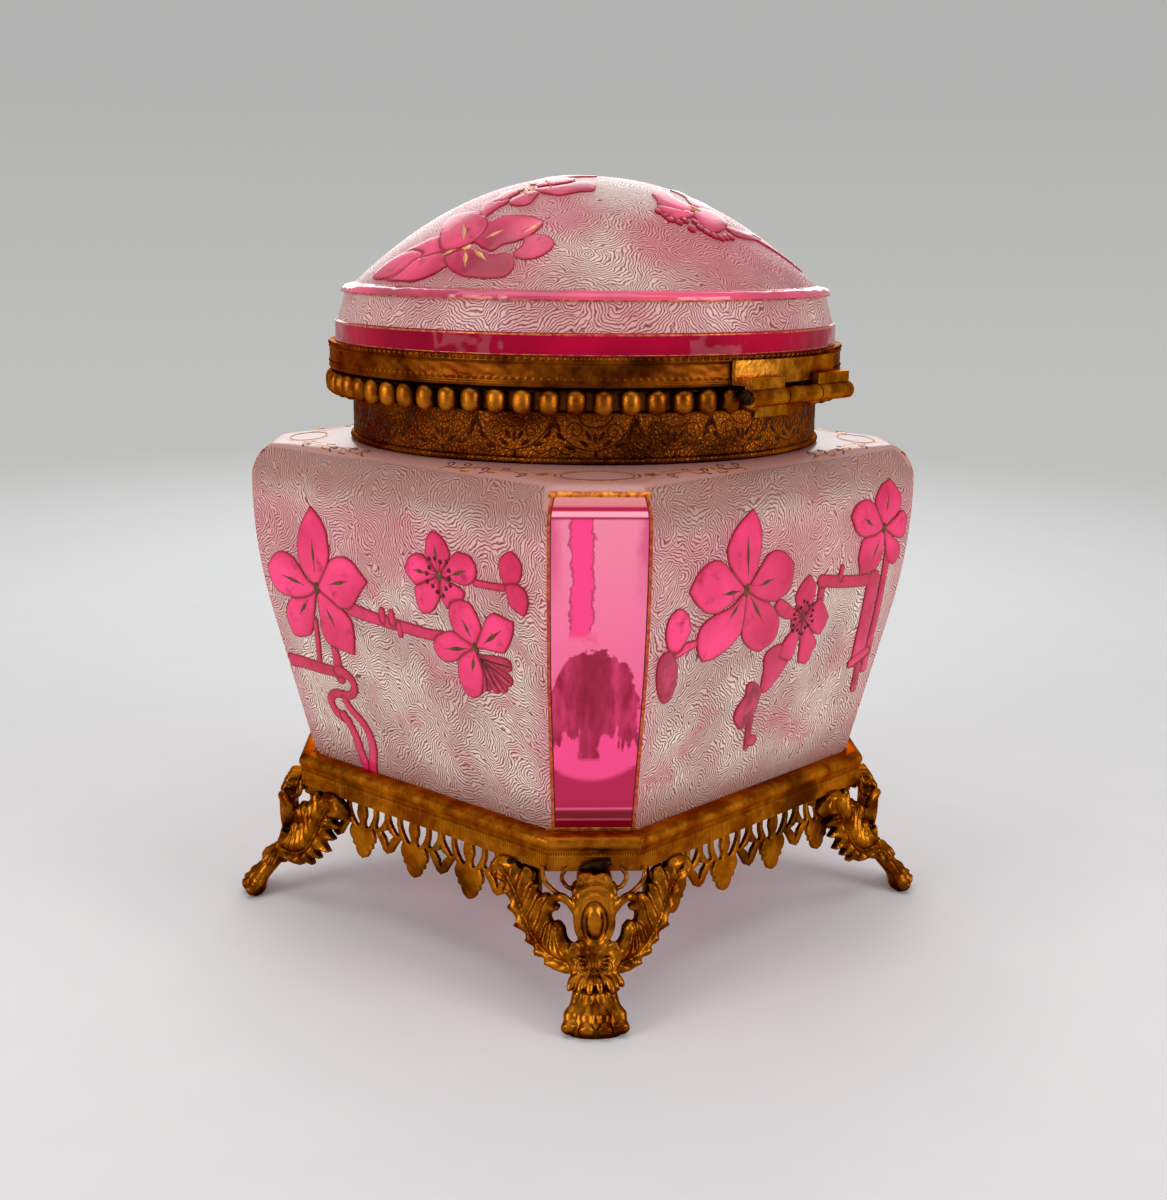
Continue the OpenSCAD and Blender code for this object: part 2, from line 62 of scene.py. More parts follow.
# Points along a flat side and along a cut corner
SIDE_STEPS = (40, 16)

# Collar, lid's glass and lid's band
COLLAR_R = 52.0
LID_GLASS_Z = 126.5
RIM_TOP = 135.4
BELT_TOP = 141.5
DOME_Z = 143.7
DOME_H = 23.2
DOME_R = 51.2
DOME_POWER = 2.08
LID_WALL_T = 4.0
LID_Z = 125.3
BAND_TOP = 131.2

# Base frame: top of the legs, half widths, wall, top and the ledge under the glass
LEG_H = 29.4
BAND_FLAT = 52.6
RIM_FLAT = 53.06
RIM_CORNER = 65.5
RIM_T = 3.4
FRAME_TOP = 36.8
LEDGE_Z = 32.8


# ---- Materials ----

class Shader:
    """Short names for building a node material."""

    def __init__(self, name):
        self.material = bpy.data.materials.new(name)
        self.material.use_nodes = True
        self.nodes = self.material.node_tree.nodes
        self.links = self.material.node_tree.links
        self.nodes.clear()
        self.output = self.nodes.new("ShaderNodeOutputMaterial")

    def put(self, socket, value):
        if hasattr(value, "is_linked"):
            self.links.new(value, socket)
        elif isinstance(value, (tuple, list)) and len(value) == 3 and socket.type == "RGBA":
            socket.default_value = (*value, 1.0)
        else:
            socket.default_value = value

    def node(self, kind, inputs=(), out=0, **settings):
        n = self.nodes.new("ShaderNode" + kind)
        for key, value in settings.items():
            setattr(n, key, value)
        for key, value in dict(inputs).items():
            self.put(n.inputs[key], value)
        return n.outputs[out]

    def math(self, operation, a, b=0.0, c=0.0):
        return self.node("Math", {0: a, 1: b, 2: c}, operation=operation)

    def times(self, a, b):
        return self.math("MULTIPLY", a, b)

    def plus(self, a, b):
        return self.math("ADD", a, b)

    def minus(self, a, b):
        return self.math("SUBTRACT", a, b)

    def vector(self, operation, a, b=(0.0, 0.0, 0.0), out=0):
        return self.node("VectorMath", {0: a, 1: b}, out=out, operation=operation)

    def value(self, name):
        """A mesh attribute."""
        return self.node("Attribute", out=2, attribute_name=name)

    def mix(self, factor, a, b):
        return self.node("Mix", {0: factor, 6: a, 7: b}, out=2, data_type="RGBA")

    def layers(self, colour, *covers):
        """Lays colours over a first one, each by its own amount."""
        for amount, cover in covers:
            colour = self.mix(amount, colour, cover)
        return colour

    def ramp(self, value, low, high, a=0.0, b=1.0):
        return self.node("MapRange", {0: value, 1: low, 2: high, 3: a, 4: b})

    def noise(self, vector, scale, detail=2.0, out=0, rough=0.5):
        return self.node("TexNoise", {"Vector": vector, "Scale": scale, "Detail": detail,
                                      "Roughness": rough}, out=out)

    def place(self):
        return self.node("TexCoord", out=3)

    def surface(self, shader):
        self.links.new(shader, self.output.inputs["Surface"])
        return self.material

    def principled(self, **values):
        n = self.nodes.new("ShaderNodeBsdfPrincipled")
        for key, value in values.items():
            self.put(n.inputs[key.replace("_", " ")], value)
        return n.outputs[0]

    def bump(self, height, strength, distance):
        return self.node("Bump", {"Strength": strength, "Distance": distance, "Height": height})

    def glass(self, tint, share, **values):
        """Finishes a glass that lets a share of the lamps' light through, tinted."""
        shadow = self.node("LightPath", out=1)
        clear = self.node("BsdfTransparent", {"Color": tint})
        body = self.principled(**values)
        return self.surface(self.node("MixShader", {0: self.times(shadow, share), 1: body, 2: clear}))


def scaled(colour, share):
    """The colour made darker or lighter."""
    return tuple(c * share for c in colour)


def vermicule(s, vector, cell, pitch):
    """Fine wavy lines that turn from patch to patch, like a fingerprint; 1 on a ridge, 0 in a groove."""
    half = (0.5, 0.5, 0.5)

    def shifted(at, scale, reach):
        push = s.vector("SUBTRACT", s.noise(vector, scale, 1.0, out=1), half)
        return s.vector("ADD", at, s.vector("MULTIPLY", push, (reach, reach, 0.0)))

    near = shifted(vector, 0.09, 4.5)
    patch = s.nodes.new("ShaderNodeTexVoronoi")
    patch.voronoi_dimensions = "2D"
    s.put(patch.inputs["Vector"], shifted(near, 0.2, 6.0))
    s.put(patch.inputs["Scale"], 1 / cell)
    # Each patch's lines are arcs round a point well away from it
    aside = s.vector("SUBTRACT", patch.outputs["Color"], half)
    aside = s.vector("MULTIPLY", aside, (2.6 * cell, 2.6 * cell, 0.0))
    middle = s.vector("ADD", patch.outputs["Position"], aside)
    wavy = shifted(shifted(near, 0.36, 1.9), 0.85, 0.75)
    arc = s.vector("LENGTH", s.vector("SUBTRACT", wavy, middle), out=1)
    return s.math("MULTIPLY_ADD", s.math("SINE", s.times(arc, TAU / pitch)), 0.5, 0.5)


def etched_glass(name, low, high):
    """Acid-etched ground: pale ridges over rosy grooves, smooth where 'zone' is above 0, browner
    where 'tint' is 1 and rosier where 'blush' is 1."""
    s = Shader(name)
    uv = s.node("UVMap")
    line = vermicule(s, uv, 6.0, 0.66)
    tint = s.value("tint")
    blush = s.value("blush")
    zone = s.value("zone")
    smooth = s.ramp(zone, -0.2, 0.2)
    blotch = s.ramp(s.noise(uv, 0.07, 3.0, rough=0.6), 0.52, 0.68)
    pale = s.ramp(s.noise(uv, 0.05, 2.0), 0.40, 0.58)
    grain = s.noise(uv, 1.4, 3.0)
    sharp = s.times(s.ramp(line, 0.04, 0.55), s.ramp(grain, 0.18, 0.42, 0.65, 1.0))
    rosy = s.math("MAXIMUM", s.times(blotch, 0.75), s.times(blush, 0.55))
    groove = s.mix(rosy, s.mix(pale, (0.15, 0.032, 0.030), (0.17, 0.05, 0.042)), (0.32, 0.014, 0.045))
    crest = s.mix(rosy, s.mix(pale, (0.76, 0.50, 0.44), (0.95, 0.77, 0.67)), (0.76, 0.25, 0.30))
    colour = s.mix(sharp, s.mix(tint, groove, low), s.mix(tint, crest, high))
    plain = s.mix(grain, (0.47, 0.21, 0.17), (0.58, 0.30, 0.26))
    colour = s.mix(smooth, colour, plain)
    height = s.times(sharp, s.minus(1.0, smooth))
    normal = s.bump(height, 0.8, 0.00013)
    return s.glass((1.0, 0.90, 0.91), 0.9, Base_Color=colour, Roughness=0.30, Normal=normal, IOR=1.5,
                   Specular_IOR_Level=0.4, Transmission_Weight=0.14)


def clear_glass(name, colour, transmission, share, wave=0.35, gloss=0.5):
    """Clear glass with the slight waves of a hand-finished surface."""
    s = Shader(name)
    at = s.place()
    ripple = s.noise(at, 110.0, 2.0)
    deep = s.mix(s.ramp(s.noise(at, 38.0, 3.0), 0.38, 0.62), colour, scaled(colour, 0.5))
    return s.glass((1.0, 0.86, 0.90), share, Base_Color=deep, Roughness=0.09, IOR=1.5,
                   Transmission_Weight=transmission, Specular_IOR_Level=gloss,
                   Normal=s.bump(ripple, wave, 0.0006))


def facet_glass():
    """Clear ruby of the cut corners, with a painted refraction: what the thick glass would show of
    what lies behind it is painted on, a bright column and a dark dome in a paler field, over darker
    bands at the foot, and a painted highlight along the lip."""
    s = Shader("ruby_facet")
    uv = s.node("UVMap")
    across = s.math("WRAP", s.node("SeparateXYZ", {0: uv}), 68.5, -68.5)
    at = s.place()
    high = s.times(s.node("SeparateXYZ", {0: at}, out=2), 1000.0)
    coarse = s.minus(s.noise(at, 170.0, 2.0), 0.5)
    fine = s.minus(s.noise(at, 700.0, 2.0), 0.5)
    t = s.plus(across, s.math("MULTIPLY_ADD", coarse, 2.2, s.times(fine, 1.6)))
    z = s.plus(high, s.math("MULTIPLY_ADD", coarse, 3.5, s.times(fine, 3.5)))
    tall = s.node("Mapping", {"Vector": at, "Scale": (1.0, 1.0, 0.16)})
    streak = s.noise(tall, 620.0, 3.0)

    def band(value, start, end, soft):
        return s.times(s.ramp(value, start, start + soft), s.ramp(value, end, end - soft))

    # Pale field with a bright column in its upper half
    pale = s.mix(s.ramp(high, 76, 101), (0.98, 0.17, 0.36), (0.90, 0.24, 0.38))
    pale = s.mix(s.ramp(high, 58, 74), (1.0, 0.07, 0.27), pale)
    edge_glow = s.times(s.ramp(s.math("ABSOLUTE", t), 6.6, 8.6), s.ramp(high, 84, 96))
    column = s.times(band(t, -5.4, -1.0, 0.3), s.ramp(high, 78.5, 80.0))
    rims = s.minus(band(t, -5.65, -0.75, 0.2), band(t, -5.25, -1.15, 0.2))
    rims = s.times(rims, s.ramp(high, 79.5, 81.0))
    knot = s.times(band(high, 77.2, 80.6, 0.6), band(t, -2.9, 0.6, 0.6))
    # Dark dome with a ragged foot, over a glow shaped like a bowl
    off_centre = s.plus(t, 0.6)
    bowl = s.times(s.math("POWER", off_centre, 2.0), -0.045)
    glow = s.ramp(s.plus(high, bowl), 47.7, 48.9)
    side = s.math("ABSOLUTE", s.math("DIVIDE", off_centre, 8.9))
    up = s.math("ABSOLUTE", s.math("DIVIDE", s.minus(z, 59.5), 17.4))
    reach = s.plus(s.math("POWER", side, 2.2), s.math("POWER", up, 2.4))
    ragged = s.plus(58.0, s.times(s.minus(streak, 0.5), 16.0))
    dome = s.times(s.ramp(reach, 1.04, 0.96), s.ramp(s.minus(high, ragged), -0.6, 0.6))
    stem = s.times(band(t, -3.6, 1.0, 0.6), band(high, 52.5, 62.0, 1.0))
    heart = s.times(s.ramp(s.math("ABSOLUTE", s.plus(t, 1.2)), 4.4, 1.6), s.ramp(high, 52, 66))
    deep = s.mix(s.ramp(streak, 0.35, 0.66), (0.34, 0.006, 0.045), (0.66, 0.035, 0.14))
    deep = s.mix(s.times(heart, 0.75), deep, (0.27, 0.003, 0.028))
    # Lines at the foot, and the lip at the top with its painted highlight
    faint = s.times(band(high, 39.0, 39.6, 0.2), 0.6)
    line = s.math("MAXIMUM", band(high, 41.4, 42.2, 0.3), faint)
    # Painted highlight: a pale band along the lip's rounded edge, between a thin dark line and a crimson
    # band
    lip_with_highlight = s.layers((0.34, 0.012, 0.06), (s.ramp(high, 102.7, 103.0), (1.0, 0.40, 0.52)),
                   (s.ramp(high, 103.7, 104.0), (0.45, 0.008, 0.06)),
                   (s.ramp(high, 104.5, 104.9), (0.72, 0.22, 0.24)))
    field = s.layers(pale, (s.times(edge_glow, 0.7), (0.70, 0.05, 0.19)),
                     (column, (1.0, 0.055, 0.25)),
                     (s.times(rims, 0.75), (0.42, 0.012, 0.08)),
                     (s.math("MAXIMUM", dome, stem), deep),
                     (s.minus(1.0, glow), (0.50, 0.010, 0.075)),
                     (s.ramp(high, 41.6, 40.9), (0.19, 0.001, 0.008)),
                     (line, (0.80, 0.11, 0.26)),
                     (s.ramp(high, 102.2, 102.6), lip_with_highlight),
                     (s.times(knot, s.ramp(fine, -0.05, 0.05)), (0.95, 0.12, 0.28)))
    return s.glass((1.0, 0.80, 0.86), 0.92, Base_Color=field, Roughness=0.06, IOR=1.5,
                   Transmission_Weight=0.12, Specular_IOR_Level=0.22,
                   Normal=s.bump(s.noise(at, 110.0, 2.0), 0.35, 0.0006))


def overlay_glass(name, light, dark):
    """Ruby overlay: hot pink, dark red at every cut edge with painted shade just inside it, crimson where
    'kind' is 1.
    """
    s = Shader(name)
    edge = s.value("edge")
    at = s.place()
    cloud = s.ramp(s.noise(at, 42.0, 3.0), 0.36, 0.62)
    mottle = s.noise(at, 240.0, 4.0, rough=0.6)
    crimson = s.mix(s.ramp(mottle, 0.38, 0.62), (0.24, 0.006, 0.03), (0.60, 0.035, 0.11))
    pink = s.layers(dark, (cloud, light), (s.ramp(mottle, 0.56, 0.72), scaled(dark, 0.8)),
                    (s.value("kind"), crimson))
    # Painted shade: a darker band just inside each shape's edge, lighter in its middle
    inner = s.ramp(edge, 0.3, 1.2)
    body = s.mix(inner, s.mix(0.45, pink, (0.60, 0.012, 0.07)), pink)
    colour = s.mix(s.ramp(edge, 0.14, 0.44), (0.30, 0.004, 0.02), body)
    return s.glass((1.0, 0.72, 0.80), 0.85, Base_Color=colour, Roughness=0.2, IOR=1.45,
                   Specular_IOR_Level=0.35, Normal=s.bump(mottle, 0.25, 0.0003))


def gilt(name, light, dark, roughness=0.35, metal=0.6):
    """Painted gilding, rubbed thin in places."""
    s = Shader(name)
    worn = s.ramp(s.noise(s.place(), 900.0, 3.0), 0.4, 0.62)
    bsdf = s.principled(Base_Color=s.mix(worn, dark, light), Metallic=metal, Roughness=roughness)
    return s.surface(bsdf)


def brass(name, light, dark, kind="plain", crevice=0.0015, roughness=0.36):
    """Gilt brass browned with age, dark in its crevices from patina and painted shade; kind sets its hand
    tooling.
    """
    s = Shader(name)
    at = s.place()
    patches = s.ramp(s.noise(at, 150.0, 5.0, rough=0.62), 0.40, 0.62)
    fine = s.noise(at, 1400.0, 3.0)
    colour = s.mix(patches, dark, light)
    height = s.plus(fine, s.noise(at, 420.0, 2.0))
    if kind == "hammered":
        dents = s.node("TexVoronoi", {"Vector": at, "Scale": 620.0}, feature="SMOOTH_F1")
        height = s.plus(dents, s.times(fine, 0.3))
    if kind == "stippled":
        pits = s.node("TexVoronoi", {"Vector": at, "Scale": 1150.0}, feature="DISTANCE_TO_EDGE")
        height = s.ramp(pits, 0.0, 0.25)
        colour = s.mix(height, scaled(dark, 0.5), colour)
        worn = s.ramp(s.noise(at, 28.0, 3.0), 0.45, 0.62)
        colour = s.mix(s.times(worn, 0.55), colour, (0.46, 0.13, 0.008))
    if kind == "hatched":
        xyz = s.node("SeparateXYZ", {0: at}).node.outputs
        turn = s.math("ARCTAN2", xyz[1], xyz[0])
        hatch = s.math("MULTIPLY_ADD", s.math("SINE", s.times(turn, 800.0)), 0.5, 0.5)
        low = s.times(s.ramp(xyz[2], 0.0334, 0.0328), s.ramp(s.noise(at, 60.0), 0.35, 0.5))
        ticks = s.times(s.ramp(xyz[2], 0.0333, 0.0331), s.ramp(xyz[2], 0.0324, 0.0326))
        cut = s.times(hatch, s.math("MAXIMUM", s.times(low, 0.45), ticks))
        height = s.math("MULTIPLY_ADD", cut, -1.6, fine)
        colour = s.mix(s.times(cut, 0.8), colour, scaled(dark, 0.3))
    stain = s.ramp(s.noise(at, 34.0, 4.0, rough=0.6), 0.57, 0.66)
    colour = s.mix(s.times(stain, 0.8), colour, scaled(light, 0.10))
    # Patina and painted shade: darker where little open air reaches, in crevices and where other parts
    # stand close
    open_air = s.node("AmbientOcclusion", {"Distance": crevice}, out=1, samples=6)
    colour = s.mix(s.ramp(open_air, 0.30, 0.92), scaled(dark, 0.16), colour)
    rough = s.ramp(s.noise(at, 300.0, 3.0), 0.3, 0.7, roughness - 0.08, roughness + 0.16)
    bsdf = s.principled(Base_Color=colour, Metallic=1.0, Roughness=rough, Specular_Tint=(0.9, 0.42, 0.10),
                        Normal=s.bump(height, 0.5, 0.00018))
    return s.surface(bsdf)


def plaster_look():
    """Old, dull plaster."""
    s = Shader("old_plaster")
    grain = s.noise(s.place(), 700.0, 4.0)
    colour = s.mix(grain, (0.42, 0.36, 0.30), (0.62, 0.56, 0.48))
    bsdf = s.principled(Base_Color=colour, Roughness=0.85, Normal=s.bump(grain, 0.4, 0.0003))
    return s.surface(bsdf)


GROUND = etched_glass("etched_ground", (0.24, 0.085, 0.07), (0.44, 0.23, 0.18))
RUBY = facet_glass()
CRIMSON = clear_glass("crimson_rim", (0.43, 0.0006, 0.032), 0.0, 0.85, wave=1.2, gloss=0.08)
RIDGE = clear_glass("polished_ridge", (0.86, 0.075, 0.18), 0.1, 0.85, wave=1.6)
INNER = clear_glass("inner_face", (0.98, 0.62, 0.66), 0.4, 0.92)
OVERLAY = overlay_glass("ruby_overlay", (1.0, 0.046, 0.205), (0.60, 0.008, 0.078))
# A darker copy of the overlay for the dome: its duskier ruby, and painted shade against the overhead lamp
# on the dome's upward faces
LID_OVERLAY = overlay_glass("ruby_overlay_dome", (0.90, 0.075, 0.19), (0.34, 0.014, 0.045))
GILT = gilt("gilt_line", (0.78, 0.27, 0.03), (0.40, 0.075, 0.008))
WORN_GILT = gilt("worn_gilt_line", (0.62, 0.20, 0.05), (0.36, 0.03, 0.03))
EDGE_GILT = gilt("orange_gilt_line", (0.66, 0.14, 0.03), (0.46, 0.035, 0.015))
VEIN = gilt("vein_line", (0.20, 0.07, 0.012), (0.11, 0.028, 0.008))
PALE_VEIN = gilt("pale_gold_line", (0.78, 0.42, 0.16), (0.62, 0.26, 0.10))
DARK_LINE = gilt("dark_line", (0.10, 0.012, 0.012), (0.055, 0.006, 0.006), 0.5)
BRASS = brass("aged_brass", (0.46, 0.145, 0.010), (0.16, 0.034, 0.002))
HINGE = brass("hinge_brass", (0.56, 0.21, 0.020), (0.24, 0.065, 0.004), crevice=0.0010, roughness=0.26)
FRAME = brass("frame_brass", (0.46, 0.150, 0.008), (0.22, 0.048, 0.002), "hatched", crevice=0.0005)
HAMMERED = brass("hammered_brass", (0.21, 0.052, 0.003), (0.07, 0.012, 0.001), "hammered")
ENGRAVED = brass("engraved_brass", (0.22, 0.040, 0.005), (0.065, 0.009, 0.0015), "stippled")
PLATE = brass("plate_brass", (0.42, 0.140, 0.008), (0.24, 0.058, 0.003), crevice=0.0008)
CHASED = brass("chased_brass", (0.48, 0.160, 0.009), (0.11, 0.021, 0.001), crevice=0.0036, roughness=0.28)
SOLDER = gilt("black_solder", (0.030, 0.012, 0.005), (0.010, 0.004, 0.002), 0.6, 1.0)
CUT_LINE = gilt("engraved_line", (0.060, 0.012, 0.002), (0.024, 0.004, 0.001), 0.5, 1.0)
PLASTER = plaster_look()


# ---- Mesh helpers ----

def build(name, points, faces, materials, body, slot, replaces=(), uv=None, values=None,
          face_material=None, sharp=40):
    """One mesh from points in millimetres and lists of equal-sided faces."""
    mesh = bpy.data.meshes.new(name)
    points = np.asarray(points, float)
    mesh.vertices.add(len(points))
    mesh.vertices.foreach_set("co", (points * MM).astype(np.float32).ravel())
    groups = [np.asarray(f, int) for f in faces if len(f)]
    corners = np.concatenate([g.ravel() for g in groups])
    sizes = np.concatenate([np.full(len(g), g.shape[1]) for g in groups])
    mesh.loops.add(len(corners))
    mesh.loops.foreach_set("vertex_index", corners.astype(np.int32))
    mesh.polygons.add(len(sizes))
    starts = np.concatenate([[0], np.cumsum(sizes)[:-1]])
    mesh.polygons.foreach_set("loop_start", starts.astype(np.int32))
    if face_material is not None:
        mesh.polygons.foreach_set("material_index", np.asarray(face_material, np.int32))
    mesh.update(calc_edges=True)
    for key, value in (values or {}).items():
        layer = mesh.attributes.new(key, "FLOAT", "POINT")
        layer.data.foreach_set("value", np.asarray(value, np.float32).ravel())
    if uv is not None:
        layer = mesh.uv_layers.new(name="UVMap")
        layer.data.foreach_set("uv", np.asarray(uv, np.float32).ravel())
    for m in materials:
        mesh.materials.append(m)
    mesh.shade_smooth()
    mesh.set_sharp_from_angle(angle=math.radians(sharp))
    mesh.validate()
    piece = bpy.data.objects.new(name, mesh)
    bpy.context.scene.collection.objects.link(piece)
    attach(piece, body)
    if replaces:
        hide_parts(*replaces)
    return piece


class Parts:
    """Gathers closed pieces of one look into one mesh."""

    def __init__(self):
        self.points, self.faces, self.count = [], [], 0

    def add(self, points, *faces):
        points = np.asarray(points, float).reshape(-1, 3)
        self.points.append(points)
        for f in faces:
            if len(f):
                self.faces.append(np.asarray(f, int) + self.count)
        self.count += len(points)

    def build(self, name, material, body, slot, **more):
        quads = [f for f in self.faces if f.shape[1] == 4]
        tris = [f for f in self.faces if f.shape[1] == 3]
        groups = [np.concatenate(g) for g in (quads, tris) if g]
        return build(name, np.concatenate(self.points), groups, [material], body, slot, **more)


def circle(count):
    """Angles of points spaced evenly round a circle."""
    return np.arange(count) * TAU / count


def axes(turn):
    """Directions out of and along a side that faces an angle."""
    c, s = math.cos(turn), math.sin(turn)
    return np.array([c, s]), np.array([-s, c])


def facing(turn):
    """Maps (along, out from the axis, height) to points on a side that faces an angle."""
    n, t = axes(turn)

    def at(u, d, z):
        u, d, z = np.broadcast_arrays(u, d, z)
        return np.concatenate([n * d[..., None] + t * u[..., None], z[..., None]], -1)

    return at


def turned(r, z, a):
    """Points at radius r and height z, turned through angle a."""
    r, z, a = np.broadcast_arrays(r, z, a)
    return np.stack([r * np.cos(a), r * np.sin(a), z], -1)


def spread(values, count):
    """A few values, or one, spread evenly over count points."""
    values = np.atleast_1d(values)
    return np.interp(np.linspace(0, 1, count), np.linspace(0, 1, len(values)), values)


def grid_faces(rows, columns):
    """Quads between rows of points that run round."""
    i = np.arange(rows - 1)[:, None]
    j = np.arange(columns)[None, :]
    a = i * columns + j
    b = i * columns + (j + 1) % columns
    return np.stack([a, b, b + columns, a + columns], -1).reshape(-1, 4)


def ring_faces(rows, columns):
    """Quads of a ring whose last row meets its first."""
    return grid_faces(rows + 1, columns) % (rows * columns)


def cap(first, columns, centre, flip):
    """Triangles from a ring of points to its centre."""
    j = np.arange(columns)
    ring = [first + j, first + (j + 1) % columns, np.full(columns, centre)]
    tri = np.stack(ring, -1)
    return tri[:, ::-1] if flip else tri


def skin(parts, rows, ends, flip=False):
    """Closed body over rings of points, with each end drawn in to a point."""
    n, columns = len(rows), len(rows[0])
    faces = grid_faces(n, columns)
    parts.add(np.concatenate([np.reshape(rows, (-1, 3)), ends]), faces[:, ::-1] if flip else faces,
              cap(0, columns, n * columns, not flip),
              cap((n - 1) * columns, columns, n * columns + 1, flip))


def sweep(parts, path, radii, sides):
    """Closed rod along a path with a radius at each point."""
    path = np.asarray(path, float)
    radii = np.broadcast_to(radii, (len(path),))
    along = np.gradient(path, axis=0)
    along /= np.linalg.norm(along, axis=1)[:, None] + 1e-12
    side = np.cross(along, (0.0, 0.0, 1.0))
    weak = np.linalg.norm(side, axis=1) < 0.1
    side[weak] = np.cross(along[weak], (0.0, 1.0, 0.3))
    side /= np.linalg.norm(side, axis=1)[:, None]
    over = np.cross(side, along)
    a = circle(sides)
    ring = side[:, None] * np.cos(a)[None, :, None] + over[:, None] * np.sin(a)[None, :, None]
    skin(parts, path[:, None] + ring * radii[:, None, None], path[[0, -1]])


def lathe(parts, profile, columns=256, radius_at=None):
    """Closed ring turned round the box's axis from a closed outline of (r, z)."""
    profile = np.asarray(profile, float)
    a = circle(columns)
    r = np.repeat(profile[:, :1], columns, 1)
    if radius_at is not None:
        r = r + radius_at(a[None, :], profile[:, :1], profile[:, 1:])
    parts.add(turned(r, profile[:, 1:], a), ring_faces(len(profile), columns))


def smooth_path(points, count, closed=False):
    """Catmull-Rom curve through a few points."""
    p = np.asarray(points, float)
    if closed:
        p = np.concatenate([p[-1:], p, p[:2]])
    else:
        p = np.concatenate([2 * p[:1] - p[1:2], p, 2 * p[-1:] - p[-2:-1]])
    spans = len(p) - 3
    t = np.linspace(0, spans, count, endpoint=not closed)
    k = np.minimum(t.astype(int), spans - 1)
    f = (t - k)[:, None]
    a, b, c, d = p[k], p[k + 1], p[k + 2], p[k + 3]
    return 0.5 * (2 * b + (c - a) * f + (2 * a - 5 * b + 4 * c - d) * f ** 2
                  + (3 * b - 3 * c + d - a) * f ** 3)


def curl(u, v, radii, angles, count):
    """Spiral round a spot, between two radii and two angles."""
    r, a = np.linspace(*radii, count), np.linspace(*angles, count)
    return np.stack([u + r * np.cos(a), v + r * np.sin(a)], -1)


# ---- Signed distances of flat shapes, positive inside ----

def sd_polygon(points, x, y):
    """Distance to a closed outline."""
    near = np.full(x.shape, 1e9)
    inside = np.zeros(x.shape, bool)
    for (x0, y0), (x1, y1) in zip(points, np.roll(points, -1, 0)):
        ex, ey = x1 - x0, y1 - y0
        wx, wy = x - x0, y - y0
        t = np.clip((wx * ex + wy * ey) / (ex * ex + ey * ey + 1e-12), 0, 1)
        near = np.minimum(near, (wx - ex * t) ** 2 + (wy - ey * t) ** 2)
        crosses = (y0 <= y) != (y1 <= y)
        inside ^= crosses & (x < x0 + wy * ex / (ey if abs(ey) > 1e-12 else 1e-12))
    return np.where(inside, 1.0, -1.0) * np.sqrt(near)


def sd_strip(path, widths, x, y):
    """Distance to a strip whose half width changes along its path."""
    path = np.asarray(path, float)
    widths = np.broadcast_to(widths, (len(path),))
    best = np.full(x.shape, -1e9)
    for p, q, w0, w1 in zip(path[:-1], path[1:], widths[:-1], widths[1:]):
        e = q - p
        t = np.clip(((x - p[0]) * e[0] + (y - p[1]) * e[1]) / (e @ e + 1e-12), 0, 1)
        d = np.hypot(x - p[0] - e[0] * t, y - p[1] - e[1] * t)
        best = np.maximum(best, w0 + (w1 - w0) * t - d)
    return best


def petal(base, tip, width, fullness=0.55, widest=0.58):
    """Outline of a petal from its base to its tip; a high fullness gives a pointed tip."""
    base, tip = np.array(base, float), np.array(tip, float)
    axis = tip - base
    cross = np.array([-axis[1], axis[0]]) / np.hypot(*axis)
    s = np.sin(np.linspace(0, math.pi / 2, 15)) ** 2
    power = math.log(0.5) / math.log(widest)
    half = 0.5 * width * np.sin(math.pi * s ** power) ** fullness
    half[0] = half[-1] = 0
    left = base + axis * s[:, None] + cross * half[:, None]
    right = base + axis * s[:, None] - cross * half[:, None]
    return np.concatenate([left, right[-2:0:-1]])


# ---- Relief sheets ----

def grid(left, right, low, high, step):
    """Rulings of a grid both ways, and the places of its points."""
    u, v = np.arange(left, right, step), np.arange(low, high, step)
    return u, v, *np.meshgrid(u, v)


def relief(parts, u, v, sd, height, place, depth=0.25, values=None):
    """Closed raised sheet over the part of a grid where sd is above 0, snapped to its outline.
    place maps (u, v, height) to points. Returns the values at its points."""
    step = u[1] - u[0]
    x, y = np.meshgrid(u, v)
    inside = sd > 0
    cells = inside[:-1, :-1] & inside[1:, :-1] & inside[:-1, 1:] & inside[1:, 1:]
    touched = np.zeros(sd.shape, int)
    for a in (slice(None, -1), slice(1, None)):
        for b in (slice(None, -1), slice(1, None)):
            touched[a, b] += cells
    rim = (touched > 0) & (touched < 4)
    gy, gx = np.gradient(sd, step)
    size = np.maximum(np.hypot(gx, gy), 0.3)
    move = np.where(rim & (sd < 1.6 * step), sd, 0)
    x = x - move * gx / size ** 2
    y = y - move * gy / size ** 2
    used = touched > 0
    index = np.full(sd.shape, -1)
    index[used] = np.arange(used.sum())
    n = used.sum()
    top = place(x[used], y[used], height[used])
    low = place(x[used], y[used], np.full(n, -depth))
    i, j = np.nonzero(cells)
    quad = np.stack([index[i, j], index[i, j + 1], index[i + 1, j + 1], index[i + 1, j]], -1)
    edges = np.concatenate([quad[:, [0, 1]], quad[:, [1, 2]], quad[:, [2, 3]], quad[:, [3, 0]]])
    key = np.sort(edges, 1) @ np.array([n + 1, 1])
    once = np.unique(key, return_counts=True, return_index=True)
    walls = edges[once[1][once[2] == 1]]
    side = np.stack([walls[:, 1], walls[:, 0], walls[:, 0] + n, walls[:, 1] + n], -1)
    parts.add(np.concatenate([top, low]), quad, quad[:, ::-1] + n, side)
    out = {}
    for key, value in (values or {}).items():
        flat = value[used]
        if key == "edge":
            flat = np.where(rim[used], 0, flat)
        out[key] = np.concatenate([flat, flat * 0 if key == "edge" else flat])
    return out


# ---- Shape of the glass ----

